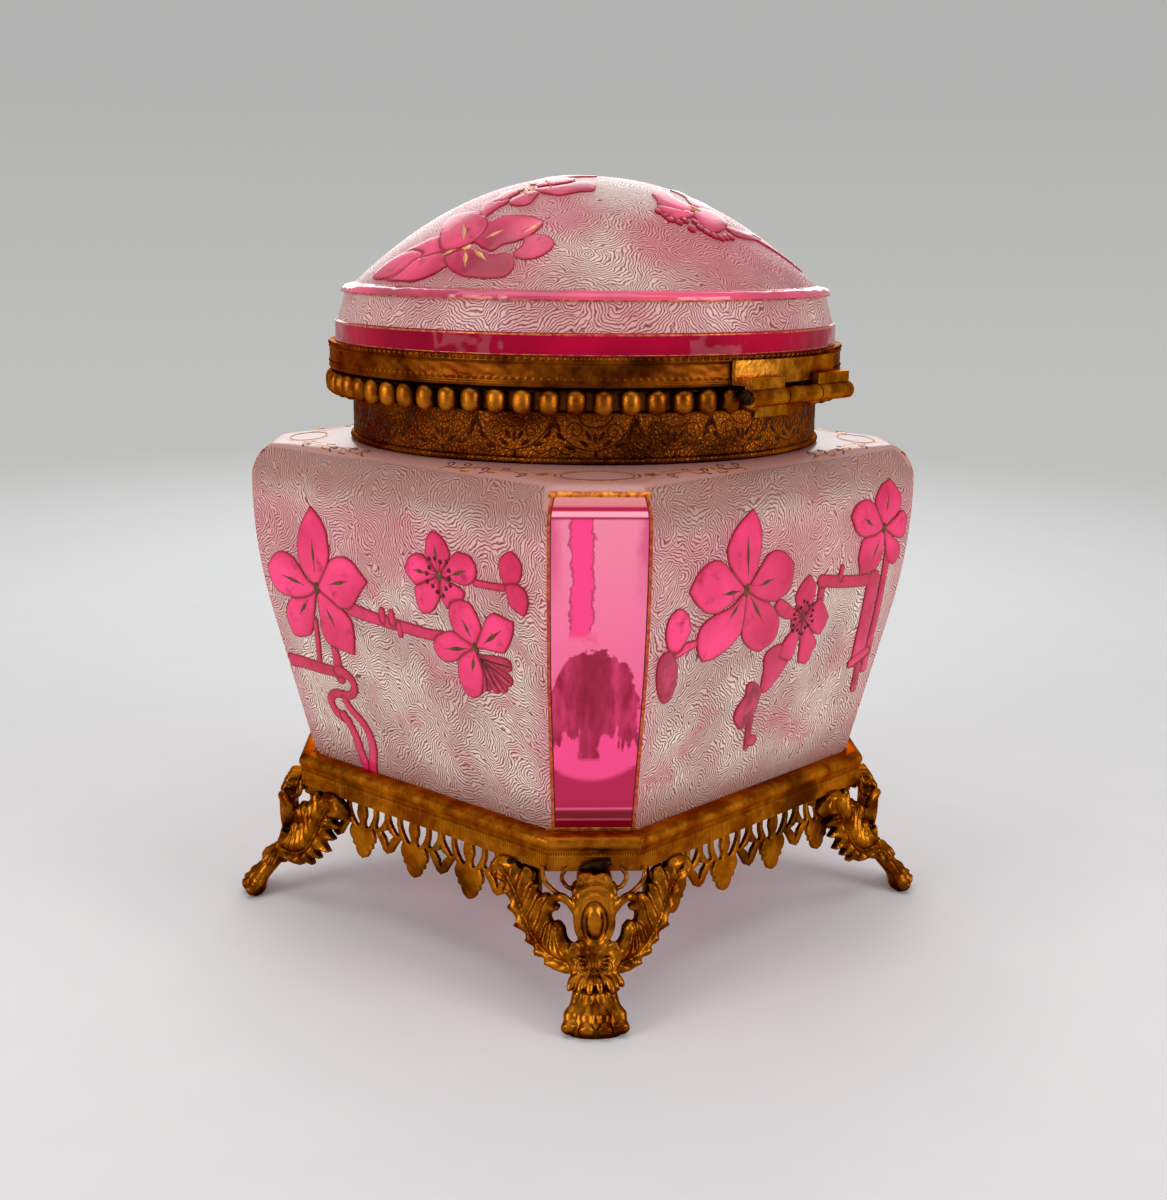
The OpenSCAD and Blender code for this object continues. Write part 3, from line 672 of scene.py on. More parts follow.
def flare(z, side, inset=0.0):
    """Half width of a side of the glass at height z."""
    wide, foot, bow = side
    z = np.asarray(z, float)
    dx, dz = bow - (wide - foot), WIDEST_Z - BOX_Z
    a = math.atan2(dz, dx) - math.acos(bow / math.hypot(dx, dz))
    r = bow - inset
    straight = wide - bow + r / math.cos(a) - (WIDEST_Z - z) * math.tan(a)
    drop = np.clip(WIDEST_Z - z, 0, r * 0.9)
    curve = wide - bow + np.sqrt(r * r - drop ** 2)
    over = np.clip(z - TURN_Z, 0, SHOULDER_R)
    curve = curve - SHOULDER_R + np.sqrt(SHOULDER_R ** 2 - over ** 2)
    return np.where(z < WIDEST_Z - r * math.sin(a), straight, curve)


def shoulder_height(r):
    """Height of the shoulder's gentle cone at radius r."""
    return SHOULDER_Z - 1.3 * np.clip((r - COLLAR_R - 0.5) / 21.5, 0, 1.1)


def dome_height(r, inset=0.0):
    """Height of the lid's dome at radius r."""
    rise = DOME_H - inset
    return DOME_Z + rise * (1 - np.clip(r / (DOME_R - inset), 0, 1) ** DOME_POWER)


def on_side(turn, side=FLAT):
    """Maps (along, height, out) on a side of the glass; turn 0 is the +X side."""
    at = facing(turn)

    def place(u, z, h):
        slope = flare(z + 0.5, side) - flare(z - 0.5, side)
        size = np.sqrt(1 + slope ** 2)
        return at(u, flare(z, side) + h / size, z - h * slope / size)

    return place


def on_dome(x, y, h):
    """Maps (x, y, out) on the lid's dome."""
    r = np.hypot(x, y)
    slope = -DOME_H * DOME_POWER / DOME_R * (r / DOME_R) ** (DOME_POWER - 1)
    size = np.sqrt(1 + slope ** 2)
    scale = 1 - h * slope / size / np.maximum(r, 1e-6)
    z = np.minimum(dome_height(r) + h / size, DOME_Z + DOME_H - 0.05)
    return np.stack([x * scale, y * scale, z], -1)


def ribbon(parts, path, width, place, height=0.12, base=0.0):
    """Thin raised line on a surface; width is one number or one at each point."""
    path = np.asarray(path, float)
    along = np.gradient(path, axis=0)
    along /= np.linalg.norm(along, axis=1)[:, None] + 1e-12
    cross = np.stack([-along[:, 1], along[:, 0]], -1)
    width = np.broadcast_to(width, (len(path),))
    base = np.broadcast_to(base, (len(path),))
    rows = []
    for share, rise in ((-0.5, -0.15), (-0.42, 0.6), (0, 1), (0.42, 0.6), (0.5, -0.15)):
        p = path + cross * (width * share)[:, None]
        rows.append(place(p[:, 0], p[:, 1], base + rise * height))
    points = np.stack(rows, 1).reshape(-1, 3)
    n = len(path)
    ends = [[0, 1, 2, 3, 4], [(n - 1) * 5 + k for k in (4, 3, 2, 1, 0)]]
    tris = [[e[0], e[k], e[k + 1]] for e in ends for k in (1, 2, 3)]
    parts.add(points, grid_faces(n, 5)[:, ::-1], np.array(tris)[:, ::-1])


# ---- Glass bodies ----

def octagon(flat_half, corner_half, steps=SIDE_STEPS):
    """Points round a cut-cornered ring, with each point's place along its face."""
    xy, along = [], []
    for k in range(8):
        half, other = (flat_half, corner_half)[::1 - 2 * (k % 2)]
        n = steps[k % 2]
        length = ROOT2 * other - half
        s = np.linspace(-1, 1, n + 1)
        normal, tangent = axes(k * TAU / 8)
        xy.append(normal * half + tangent * (s[:-1] * length)[:, None])
        along.append(np.stack([s[:-1] * length, s[1:] * length], -1) + k * 137.0)
    return np.concatenate(xy), np.concatenate(along)


def box_glass():
    """The glass box with its etched flats, clear cut corners, shoulder, neck and hollow."""
    rows = []

    def add(flat_half, corner_half, z, zone, tint, blend=0.0, round_r=0.0):
        """Adds a row, blended from its cut-cornered outline into a round one."""
        xy, along = octagon(flat_half, corner_half)
        size = np.hypot(xy[:, 0], xy[:, 1])[:, None]
        xy = xy * (1 - blend) + xy / size * round_r * blend
        rows.append((xy, along, z, zone, tint))

    def tint_at(z):
        """Browner under the shoulder and at the foot."""
        return float(np.clip((z - 97) / 6, 0, 1) * 0.9 + np.clip((46 - z) / 7, 0, 1) * 0.8)

    top = (FLAT[0] - SHOULDER_R, CORNER[0] - SHOULDER_R)
    inner_r = SHOULDER_R - WALL_T
    inner_top = SHOULDER_Z - WALL_T

    add(1.0, 1.3, BOX_Z, -5, 0.5)
    add(FLAT[1] - 1.2, CORNER[1] - 1.2, BOX_Z, -5, 0.9)
    for z in np.concatenate([[BOX_Z + 0.3], np.linspace(BOX_Z + 1, TURN_Z, 52)]):
        edge = 0.5 if z < BOX_Z + 0.5 else 0
        add(flare(z, FLAT) - edge, flare(z, CORNER) - edge, z, -5, tint_at(z))
    for a in np.radians(np.linspace(8, 88, 11)):
        lean = SHOULDER_R * (1 - math.cos(a))
        z = TURN_Z + SHOULDER_R * math.sin(a)
        add(FLAT[0] - lean, CORNER[0] - lean, z, None, tint_at(z))
    side_rows = len(rows)
    for blend in np.linspace(0.12, 1, 9):
        add(*top, SHOULDER_Z, None, 1.0, blend, NECK_R)
    outer_rows = len(rows)
    add(1, 1, NECK_TOP, 5, 1, 1, NECK_R)
    add(1, 1, NECK_TOP, 5, 1, 1, MOUTH_R)
    for z in np.linspace(NECK_TOP, inner_top, 5)[1:]:
        add(1, 1, z, 5, 1, 1, MOUTH_R)
    for blend in (0.75, 0.5, 0.25, 0.1):
        add(*top, inner_top, 5, 1, blend, MOUTH_R)
    for a in np.radians(np.linspace(90, 0, 7)):
        lean = SHOULDER_R - inner_r * math.cos(a)
        add(FLAT[0] - lean, CORNER[0] - lean, TURN_Z + inner_r * math.sin(a), 5, 1)
    for z in np.linspace(WIDEST_Z, FLOOR_Z + 3, 30):
        add(flare(z, FLAT, WALL_T), flare(z, CORNER, WALL_T), z, 5, 1)
    add(flare(FLOOR_Z, FLAT, WALL_T) - 3, flare(FLOOR_Z, CORNER, WALL_T) - 3, FLOOR_Z, 5, 1)
    add(1.0, 1.3, FLOOR_Z, 5, 1)

    points, zones, tints, blushes = [], [], [], []
    corner_of = np.repeat([0, 1] * 4, SIDE_STEPS * 4)
    for k, (xy, along, z, zone, tint) in enumerate(rows):
        r = np.hypot(xy[:, 0], xy[:, 1])
        height = np.full(len(xy), z)
        if k < outer_rows and z > WIDEST_Z + 2:
            height = np.minimum(height, shoulder_height(r))
        points.append(np.column_stack([xy, height]))
        inner_zone = 56.0 - np.max(np.abs(xy), 1)
        if z > WIDEST_Z + 3.5:
            inner_zone[corner_of == 1] = 5.0
        zones.append(np.full(len(xy), zone) if zone is not None else inner_zone)
        tints.append(np.full(len(xy), tint))
        to_edge = ROOT2 * flare(z, CORNER) - flare(z, FLAT) - np.min(np.abs(xy), 1)
        blush = np.clip((z - 80) / 6, 0, 1) * np.clip((101 - z) / 4, 0, 1)
        # Painted refraction: rosier within a few millimetres of the cut corners, where the ruby facet
        # shows through the glass's edge
        blush = blush + np.clip(1.2 - to_edge / 5, 0, 1)
        blushes.append(np.clip(blush, 0, 1))
    points = np.concatenate(points)
    n, columns = len(rows), len(rows[0][0])
    quads = grid_faces(n, columns)
    # Lengths up the surface, for the pattern
    middle = points.reshape(n, columns, 3)[:, SIDE_STEPS[0] // 2]
    up = np.concatenate([[0], np.cumsum(np.linalg.norm(np.diff(middle, axis=0), axis=1))])
    uv = []
    for k in range(n - 1):
        a, b = rows[k][1], rows[k + 1][1]
        corners = np.stack([a[:, 0], a[:, 1], b[:, 1], b[:, 0]], -1)
        heights = np.broadcast_to([up[k], up[k], up[k + 1], up[k + 1]], corners.shape)
        uv.append(np.stack([corners, heights], -1))
    uv = np.concatenate(uv).reshape(-1, 2)
    # Looks: 0 etched ground, 1 ruby facet, 2 inside
    row_of = np.repeat(np.arange(n - 1), columns)
    look = np.where(row_of > side_rows - 7, 0, np.tile(corner_of, n - 1))
    look = np.where(row_of >= outer_rows - 1, 2, look)
    look = np.where(row_of == 0, 1, look)
    centres = [np.array([[0, 0, BOX_Z]]), np.array([[0, 0, FLOOR_Z]])]
    points = np.concatenate([points] + centres)
    caps = np.concatenate([cap(0, columns, n * columns, True),
                           cap((n - 1) * columns, columns, n * columns + 1, False)])
    uv = np.concatenate([uv, np.zeros((caps.size, 2))])
    look = np.concatenate([look, np.full(columns, 1), np.full(columns, 2)])
    values = {"zone": zones, "tint": tints, "blush": blushes}
    values = {key: np.concatenate(rows_of + [np.zeros(2)]) for key, rows_of in values.items()}
    build("casket_glass", points, [quads, caps], [GROUND, RUBY, INNER], "base", "frosted_glass",
          replaces=("glass_box",), uv=uv, values=values, face_material=look, sharp=28)


# Rosy clouds of the dome's glass: x, y, reach and strength
LID_BLUSH = [(26, 18, 6, 1.2), (24, 11, 6, 1.2), (42, 20, 7, 0.8), (16, 36, 7, 1.2), (6, 43, 9, 1.3),
             (-8, 42, 9, 1.3), (-20, 38, 9, 1.1), (30, -6, 9, 1.1), (44, -12, 9, 1.3), (42, 6, 10, 1.0),
             (8, -2, 7, 1.0), (-20, -20, 18, 0.9), (-34, 14, 10, 0.9)]


def lid_glass():
    """The domed lid: clear crimson rim, etched belt, polished ridge and etched dome."""
    columns = 240
    rim_r = 55.8
    # Height, radius and look: 0 etched ground, 1 crimson, 2 inside, 3 polished ridge
    profile = [(LID_GLASS_Z, 51.8, 1), (LID_GLASS_Z, 55.4, 1), (LID_GLASS_Z + 0.4, rim_r, 1)]
    profile += [(z, rim_r, 1) for z in np.linspace(128, RIM_TOP - 0.3, 8)]
    profile += [(RIM_TOP + 0.1, 55.5, 1)]
    profile += [(z, 55.2 - 1.7 * (z - RIM_TOP) / 6.1, 0) for z in np.linspace(RIM_TOP + 0.3, BELT_TOP,
                                                                              12)]
    profile += [(BELT_TOP + 0.15, 53.9, 3), (BELT_TOP + 0.5, 54.3, 3), (BELT_TOP + 1.1, 54.3, 3),
                (BELT_TOP + 1.7, 53.7, 3), (BELT_TOP + 2.0, 52.7, 3), (BELT_TOP + 2.1, 51.9, 3)]
    radii = DOME_R * np.cos(np.linspace(0.02, math.pi / 2 - 0.02, 60)) ** 0.85
    profile += [(float(dome_height(r)), r, 0) for r in radii]
    outer_rows = len(profile)
    profile += [(float(dome_height(r, LID_WALL_T)), r, 2) for r in radii[::-3] * (47.2 / 51.2)]
    profile += [(BELT_TOP, 49.3, 2), (RIM_TOP, 51.2, 2), (RIM_TOP - 3, 51.8, 2)]
    z, r, look = np.array(profile).T
    points = turned(r[:, None], z[:, None], circle(columns)).reshape(-1, 3)
    n = len(profile)
    up = np.concatenate([[0], np.cumsum(np.hypot(np.diff(z), np.diff(r)))])
    # The pattern runs round the belt, and lies flat over the dome
    belt_r = 55.0
    turn = np.arange(columns + 1) * TAU / columns
    round_axis = np.stack([np.cos(turn), np.sin(turn)], -1)
    uv = []
    for k in range(n):
        ends = (k, (k + 1) % n)
        if outer_rows - len(radii) <= k < outer_rows:
            p, q = ((up[e] - up[outer_rows - 1]) * round_axis for e in ends)
        else:
            p, q = (np.stack([turn * belt_r, np.full(columns + 1, up[e])], -1) for e in ends)
        uv.append(np.stack([p[:-1], p[1:], q[1:], q[:-1]], 1))
    # Moved away, so that the dome's pattern is not the box's
    uv = np.concatenate(uv).reshape(-1, 2) + 900.0
    dome_share = np.clip((z - DOME_Z) / DOME_H, 0, 1)
    # Browner over the dome than on the belt, and more so toward the dome's foot: painted shade against
    # the overhead lamp
    tint = np.where(z > DOME_Z, 0.26 + 0.6 * np.clip(0.3 - dome_share, 0, 1), 0.2)
    blush = np.repeat(np.where(z < BELT_TOP + 0.5, 0.8, 0.1), columns)
    for x, y, reach, strength in LID_BLUSH:
        away = np.hypot(points[:, 0] - x, points[:, 1] - y) / (1.25 * reach)
        patch = 2.1 * strength * np.exp(-away ** 2) * (points[:, 2] > DOME_Z)
        blush = np.maximum(blush, patch)
    values = {"zone": np.full(len(points), -5.0), "tint": np.repeat(tint, columns), "blush": blush}
    build("lid_glass_dome", points, [ring_faces(n, columns)], [GROUND, CRIMSON, INNER, RIDGE],
          "lid", "frosted_glass", replaces=("lid_glass",), uv=uv, values=values,
          face_material=np.repeat(look, columns), sharp=35)


# ---- Blossom sprays ----

PETAL, BUD, WOOD = 0.0, 1.0, 0.35


def blade(centre, left, tip, right):
    """Outline of a petal: up its left side to the tip and down its right side."""
    up = smooth_path([centre] + left + [tip], 6 * len(left) + 8)
    down = smooth_path([tip] + right + [centre], 6 * len(right) + 8)
    return np.concatenate([up[:-1], down[:-1]])


class Spray:
    """Shapes of one spray, the later ones over the earlier, and the marks painted on them."""

    def __init__(self):
        self.shapes, self.marks = [], []

    def shape(self, look, outline, lift=0.0):
        self.shapes.append((look, outline, lift))

    def blob(self, look, lift, *points):
        self.shape(look, smooth_path(points, 6 * len(points), True), lift)

    def strip(self, path, widths, look=WOOD):
        path = smooth_path(path, 8 * len(path))
        self.shape(look, (path, spread(widths, len(path)) / 2))

    def centre(self, spot, size):
        self.marks.append(("centre", [spot], size))

    def spindle(self, start, end):
        start, end = np.array(start, float), np.array(end, float)
        self.marks.append(("spindle", [start, (start + end) / 2, end], 1.0))

    def flower(self, centre, petals, veins=True):
        """Petals round a centre; petals are (tip, width, fullness)."""
        for k, (tip, width, fullness) in enumerate(petals):
            self.shape(PETAL, petal(centre, tip, width, fullness), 0.10 + 0.05 * (k % 2))
            if veins:
                c = np.array(centre, float)
                vein = [c + (tip - c) * share for share in (0.13, 0.36, 0.62)]
                self.marks.append(("spindle", vein, 0.95))
        self.centre(centre, 1.15 if veins else 0.8)

    def drawn_flower(self, centre, petals, spindles=(), size=1.1):
        """Petals with drawn outlines, veined down the middle."""
        for k, (left, tip, right) in enumerate(petals):
            self.shape(PETAL, blade(centre, left, tip, right), 0.05 * (k % 2))
        for start, end in spindles:
            self.spindle(start, end)
        self.centre(centre, size)

    def stamens(self, centre, reach, count, dot=0.42):
        """Dots on thin threads round a blossom's centre."""
        c = np.array(centre, float)
        for k, a in enumerate(circle(count)):
            r = reach * (0.82 + 0.28 * ((k * 7) % 3) / 2)
            tip = c + r * np.array([math.cos(a), math.sin(a)])
            self.marks.append(("hair", [c + (tip - c) * 0.25, c + (tip - c) * 0.6, tip], 0.14))
            self.marks.append(("dot", [tip], dot))


def left_spray():
    """Spray of the +X side: a large open blossom, two small ones, buds and a gnarled trunk."""
    spray = Spray()
    spray.strip([(-27.6, 71), (-28.2, 66), (-29, 61)], 1.6)
    spray.strip([(-22.6, 66), (-22.6, 62), (-22.6, 58.5)], [2.2, 3.4])
    spray.strip([(-42, 59.3), (-36, 59.6), (-30, 59.4), (-24, 59.4)], [3.2, 2.6])
    spray.strip([(-23, 59.8), (-21.2, 59.8), (-18.6, 58.4), (-18.4, 56.4), (-20, 54.7), (-22.8, 54.2),
                 (-26, 53.8), (-27.8, 51.8), (-26.6, 49.4), (-24, 48.2)], [2.6, 2.2, 2.0, 2.2, 2.4])
    spray.strip([(-24, 49), (-22.6, 47.2), (-21.2, 44.4), (-20.6, 41.4), (-19.8, 38.4), (-18.8, 35)],
                [2.4, 2.6, 3.0])
    spray.strip([(-22.6, 53), (-20.8, 50.8), (-18, 48.8), (-16.2, 46.2), (-15.8, 43), (-16.8, 39.2),
                 (-17.6, 35)], [2.0, 2.4, 2.8])
    spray.strip([(-14.6, 75.6), (-8.4, 75), (-3.3, 74.7), (5.3, 74.3), (10.9, 74.2), (14.5, 74.6)],
                [3.2, 2.8, 2.6, 2.4])
    for u in (-4, -1):
        spray.strip([(u, 75.0), (u, 76.9)], 1.8)
    spray.strip([(1, 74.4), (1, 72.6)], 1.7)
    spray.strip([(25.6, 87.4), (29.4, 87.4), (33.5, 87.6)], 1.6)
    spray.blob(PETAL, 0.0, (33.6, 88.6), (32.8, 90.2), (32.4, 91.9), (33.2, 93.7), (35.9, 95.2),
               (38.4, 93.5), (38.8, 91.6), (38, 89.5), (36, 88.2))
    spray.blob(PETAL, 0.08, (34.5, 88.4), (34.3, 86.8), (35, 84.4), (36.6, 83.4), (38.7, 82.7),
               (39.9, 84.9), (40, 86.8), (39.1, 88.2), (37.2, 88.9))
    spray.drawn_flower((15.3, 87.4), [
        ([(11.7, 90.7), (11.6, 92.9), (12.2, 95)], (13.6, 96.4),
         [(15.5, 96.1), (17.3, 94.8), (18.4, 93.2), (18.6, 91.6)]),
        ([(20.1, 92.7), (22.4, 93), (24.5, 92.7)], (26.1, 91.1),
         [(26.2, 89.4), (25.3, 87.7), (23, 86.4), (20.7, 86.5)]),
        ([(15.3, 83), (16.6, 81), (17.4, 80.8)], (21.6, 83), [(22, 85.4)]),
        ([(8.2, 84.4), (7.5, 82.2), (7.9, 79.9)], (9.2, 78.4), [(12, 79.2), (13.7, 80.9), (15, 82.9)]),
        ([(10.9, 91), (9.3, 91.2), (7.1, 90.5)], (5.5, 88.9),
         [(4.9, 87.4), (5.6, 86.2), (7.3, 84.8), (8.4, 84.5)]),
    ], [((15, 90.6), (14.4, 93.6)), ((18.8, 88), (23.4, 89.6)), ((11.6, 87.4), (7.6, 87.6))], size=0.95)
    spray.stamens((15.3, 87.4), 3.7, 14, dot=0.5)
    for tip in ((25.5, 64.7), (28.7, 64.9), (31, 65.6), (33, 67.7), (33.6, 71.4)):
        spray.shape(BUD, petal((24.5, 72.5), tip, 2.9, 0.3, 0.8), 0.02)
        bend = ((24.8 + tip[0]) / 2 + 0.5, (71.6 + tip[1]) / 2)
        spray.marks.append(("hair", [(24.8, 71.6), bend, tip], 0.34))
    spray.drawn_flower((23.8, 73.8), [
        ([(21, 74.8), (18.6, 75.8), (17.4, 77.4), (17, 79.4), (17.5, 81.4), (18.7, 82.6)], (21, 83.3),
         [(23.6, 83), (25.2, 81), (26.2, 78.6), (25.4, 76)]),
        ([(26.2, 77.8), (28, 80.6), (29.9, 82), (32.1, 81.8), (34, 81.4)], (35.6, 81.2),
         [(35.3, 79), (34.2, 76.8), (32.7, 74.7), (31.2, 73.9)]),
        ([(20.4, 71.8), (17.9, 70), (15.3, 69), (12.8, 69.2), (11.1, 70.8)], (11, 72.5),
         [(12.8, 74.4), (17, 76.2), (20.6, 75)]),
    ], [((21.1, 79.2), (23, 75.9)), ((26.4, 75), (32, 78.8)), ((14.7, 71.9), (21.6, 73.2)),
        ((23.4, 72.2), (21.9, 68.2))])
    spray.shape(PETAL, blade((23.8, 73.8), [(18.6, 70.6), (17.4, 66.8), (18, 64.5), (19, 62.8)],
                             (20.6, 62.2), [(22.6, 63), (24, 64.6), (25, 69)]), 0.1)
    spray.drawn_flower((-25, 78.7), [
        ([(-29.2, 68.3), (-32.7, 66.2), (-36.3, 65.8)], (-37.7, 68.2),
         [(-37.6, 71.8), (-34.5, 75.4), (-30.5, 76.6)]),
        ([(-20, 77), (-16.4, 74.6), (-14.6, 72.6), (-14.7, 69.2)], (-15.9, 64.8),
         [(-18.7, 65), (-21.4, 65.4), (-24.6, 66.2), (-25.9, 69), (-25.7, 72.1)]),
        ([(-28.3, 80.6), (-30.1, 82.7), (-32.2, 84.7), (-36, 85.6), (-38.9, 84.5)], (-41.8, 81.7),
         [(-41.7, 79), (-40.2, 76.5), (-37.3, 75.3), (-32.3, 75.4), (-27.7, 76.7)]),
        ([(-20.4, 84.6), (-17.8, 86.6), (-14.6, 87.2), (-11.7, 86.4), (-10, 84.9)], (-7.4, 82.6),
         [(-9.8, 80.4), (-12.3, 77.6), (-14.6, 75.7), (-17.9, 75.4), (-20.6, 76.7)]),
        ([(-29.6, 82.5), (-30.4, 86.2), (-30, 89.2), (-28.2, 92.8)], (-24.9, 97),
         [(-22, 94.9), (-20.2, 92.6), (-19.6, 89.8), (-20, 85.4)]),
    ], [((-24.8, 82.5), (-24.9, 89.8)), ((-20.2, 80.3), (-13.9, 81.9)), ((-29.2, 78.8), (-36.8, 80)),
        ((-22.6, 74.6), (-20.6, 70.6)), ((-28.6, 75.6), (-32.6, 71.6))], size=1.3)
    return spray


def right_spray():
    """Spray of the +Y side: a large blossom with a bud, a stamened one, a branch and a corner blossom."""
    spray = Spray()
    spray.strip([(12.4, 82.6), (12.4, 77.6)], 2.4)
    spray.strip([(11.8, 82.4), (20, 81), (28, 80.1), (31, 79.8)], 2.9)
    spray.strip([(19, 82), (19.2, 84.3)], 1.6)
    spray.strip([(36.8, 95), (36.8, 80), (36.8, 68), (36.6, 58)], 2.5)
    spray.strip([(32.6, 79.4), (32.6, 72), (32.7, 66), (32.9, 61)], 5.0)
    spray.strip([(30.5, 60), (36, 62)], 2.4)
    spray.strip([(34, 58.6), (34.4, 53.4)], 2.5, BUD)
    spray.blob(WOOD, 0.0, (-4.6, 68.4), (-3.9, 65), (-3.7, 61.6), (-2.6, 59.4), (-0.2, 60.2), (2.6, 62.8),
               (4.6, 65.2), (5.6, 67.6), (2, 70), (-2, 70))
    spray.blob(BUD, 0.05, (-6.8, 63.1), (-8.8, 62.4), (-8.8, 60.2), (-10.6, 58.3), (-11.3, 55.8),
               (-9.6, 53.5), (-8.1, 52.3), (-6.4, 52.9), (-4.9, 54.6), (-3.6, 56), (-3.2, 58.5),
               (-3.4, 60.8))
    spray.strip([(-5, 54), (-4.6, 51), (-4.2, 47.5)], [2.4, 1.8], BUD)
    spray.strip([(-3.4, 48.9), (-2.2, 48.5)], 2.6, BUD)
    spray.strip([(-35.5, 74.8), (-29.5, 75.6)], [3.0, 1.6], PETAL)
    spray.blob(PETAL, 0.0, (-35.8, 83.9), (-33.4, 82.4), (-32.2, 80.4), (-31.8, 78.4), (-34.4, 74.9),
               (-37.3, 75.3), (-38.7, 76.8), (-39.6, 79.5), (-39.3, 81.8), (-38, 83.3))
    spray.blob(BUD, 0.05, (-37.3, 75.3), (-39.9, 74.8), (-40.6, 73), (-40.2, 70), (-39, 67),
               (-36.8, 64.3), (-34.6, 64.8), (-33.7, 67.4), (-33.8, 70.2), (-34.6, 72.6))
    spray.drawn_flower((34, 91.3), [
        ([(26.6, 89.8), (25.5, 88), (25.2, 85.3), (26.2, 82.8)], (26.6, 81.6),
         [(30, 81.6), (33.4, 82.4), (34.4, 84.6), (34.9, 88)]),
        ([(30.2, 96.4), (28.2, 98), (25.6, 98.6), (22.4, 97.7)], (20.6, 95.4),
         [(22.2, 92.9), (23.4, 91.4), (26.4, 90.1), (31, 90.2)]),
        ([(30, 97), (30.2, 99), (31.9, 101)], (35.4, 102.3), [(38.6, 99.6), (40, 97.8), (39.8, 94.6)]),
        ([(38, 93), (41, 94.6)], (43.4, 92.6), [(42.6, 88.4), (39, 88.6)]),
        ([(38.6, 88.6), (41.6, 86.4)], (41.8, 83.4), [(39.4, 82.2), (36.4, 84.6)]),
    ], [((25.6, 94.4), (29.4, 92.3)), ((34.4, 95.0), (35.0, 99.0)), ((30.6, 84.6), (32.6, 88.8))])
    spray.blob(PETAL, -0.04, (2.6, 75.4), (4.0, 71.8), (7.2, 70.0), (10.4, 71.4), (11.2, 75.0),
               (9.6, 78.6), (6.6, 79.8), (3.8, 78.4))
    spray.drawn_flower((6.8, 75), [
        ([(-1.6, 80.4), (-4, 79.8)], (-3.9, 78.2), [(-2.4, 77), (0.9, 75.6)]),
        ([(2.6, 71.8), (1, 69.8)], (0.4, 67.4), [(2.8, 66.2), (6, 66.2)]),
        ([(8.3, 65.3), (9.8, 64)], (11.6, 63.4), [(12.9, 64.4), (13.4, 66.2), (13.9, 68.6)]),
        ([(12, 78.4), (14, 77)], (17, 73.5), [(15.8, 71.2), (14.6, 69.8), (11.8, 70.9)]),
        ([(3.1, 79.2), (3.2, 81.2), (4.9, 83.2)], (7.2, 84.6), [(9.6, 82.2), (10.1, 79.8), (9.4, 77.4)]),
    ], size=0.9)
    spray.stamens((6.8, 75), 3.5, 18, dot=0.40)
    spray.drawn_flower((-15, 84.4), [
        ([(-14.7, 78), (-14.6, 75), (-13.1, 72.8), (-9.8, 70.6)], (-7, 69.7),
         [(-4, 70.6), (-2, 72.2), (-1.7, 75.2), (-3.4, 78), (-7, 80.8)]),
        ([(-19.6, 81.6), (-25, 80.6), (-28.4, 79), (-29.3, 76.4), (-28.4, 73.4)], (-26.3, 71),
         [(-22.7, 71.1), (-19.3, 72.2), (-16.7, 73.7), (-14.8, 76)]),
        ([(-20.7, 89.2), (-23.4, 91.3), (-26.3, 92.2), (-29.6, 91.3), (-31.9, 89.5)], (-33.7, 86.7),
         [(-31.8, 84.6), (-29.6, 82.8), (-27, 81.3), (-23.5, 80.9), (-20, 82)]),
        ([(-10.9, 88.9), (-8.5, 91.1), (-5.4, 91.5), (-2, 90.2), (0.4, 88)], (1, 86.2),
         [(0.6, 83), (-1.4, 81.3), (-4.8, 80.4), (-8, 81), (-12, 82.6)]),
        ([(-20.7, 89.4), (-22.5, 93), (-21.8, 95.6), (-19.8, 98), (-17, 99.9)], (-14.6, 101.1),
         [(-12.8, 99), (-11.4, 96.4), (-11.2, 93), (-12, 88.6)]),
    ], [((-16.3, 95.8), (-15.2, 87.5)), ((-11.4, 84.7), (-5.8, 85.6)), ((-23.2, 84.6), (-17, 84.6)),
        ((-17, 82.2), (-19.8, 79)), ((-13.9, 83.2), (-8, 76.6))], size=1.3)
    return spray


def plain_spray():
    """Spray of the two far sides: one large blossom on a bough with small ones and buds."""
    spray = Spray()
    spray.strip([(-36, 47), (-27, 52), (-18, 60), (-6, 64), (8, 68), (20, 77)], [2.6, 2.2, 2.0, 1.8])
    spray.strip([(-18, 60), (-20, 68), (-18, 76)], [1.9, 1.4])
    spray.strip([(8, 68), (16, 64), (24, 63)], [1.8, 1.4])
    spray.strip([(-27, 52), (-34, 58), (-36, 64)], [1.8, 1.2])
    spray.shape(PETAL, petal((-36, 63), (-37, 72), 6.4, 0.5, 0.5), 0.0)
    spray.shape(BUD, petal((23, 64), (31, 59), 5.8, 0.55, 0.5), 0.0)
    spray.flower((-18, 80), [((-18.5, 90), 7.4, 0.6), ((-8.5, 84), 7.4, 0.5),
                                      ((-11, 72.4), 7.2, 0.5), ((-24.5, 71.6), 7.2, 0.5),
                                      ((-28, 83), 7.4, 0.5)], veins=False)
    spray.stamens((-18, 80), 4.2, 16)
    spray.flower((20, 82), [((9, 70), 10.8, 0.54), ((30.5, 69), 10.6, 0.5),
                                     ((37, 86), 11.4, 0.5), ((4.6, 88), 11.6, 0.52),
                                     ((21, 100.5), 12, 0.66)])
    return spray


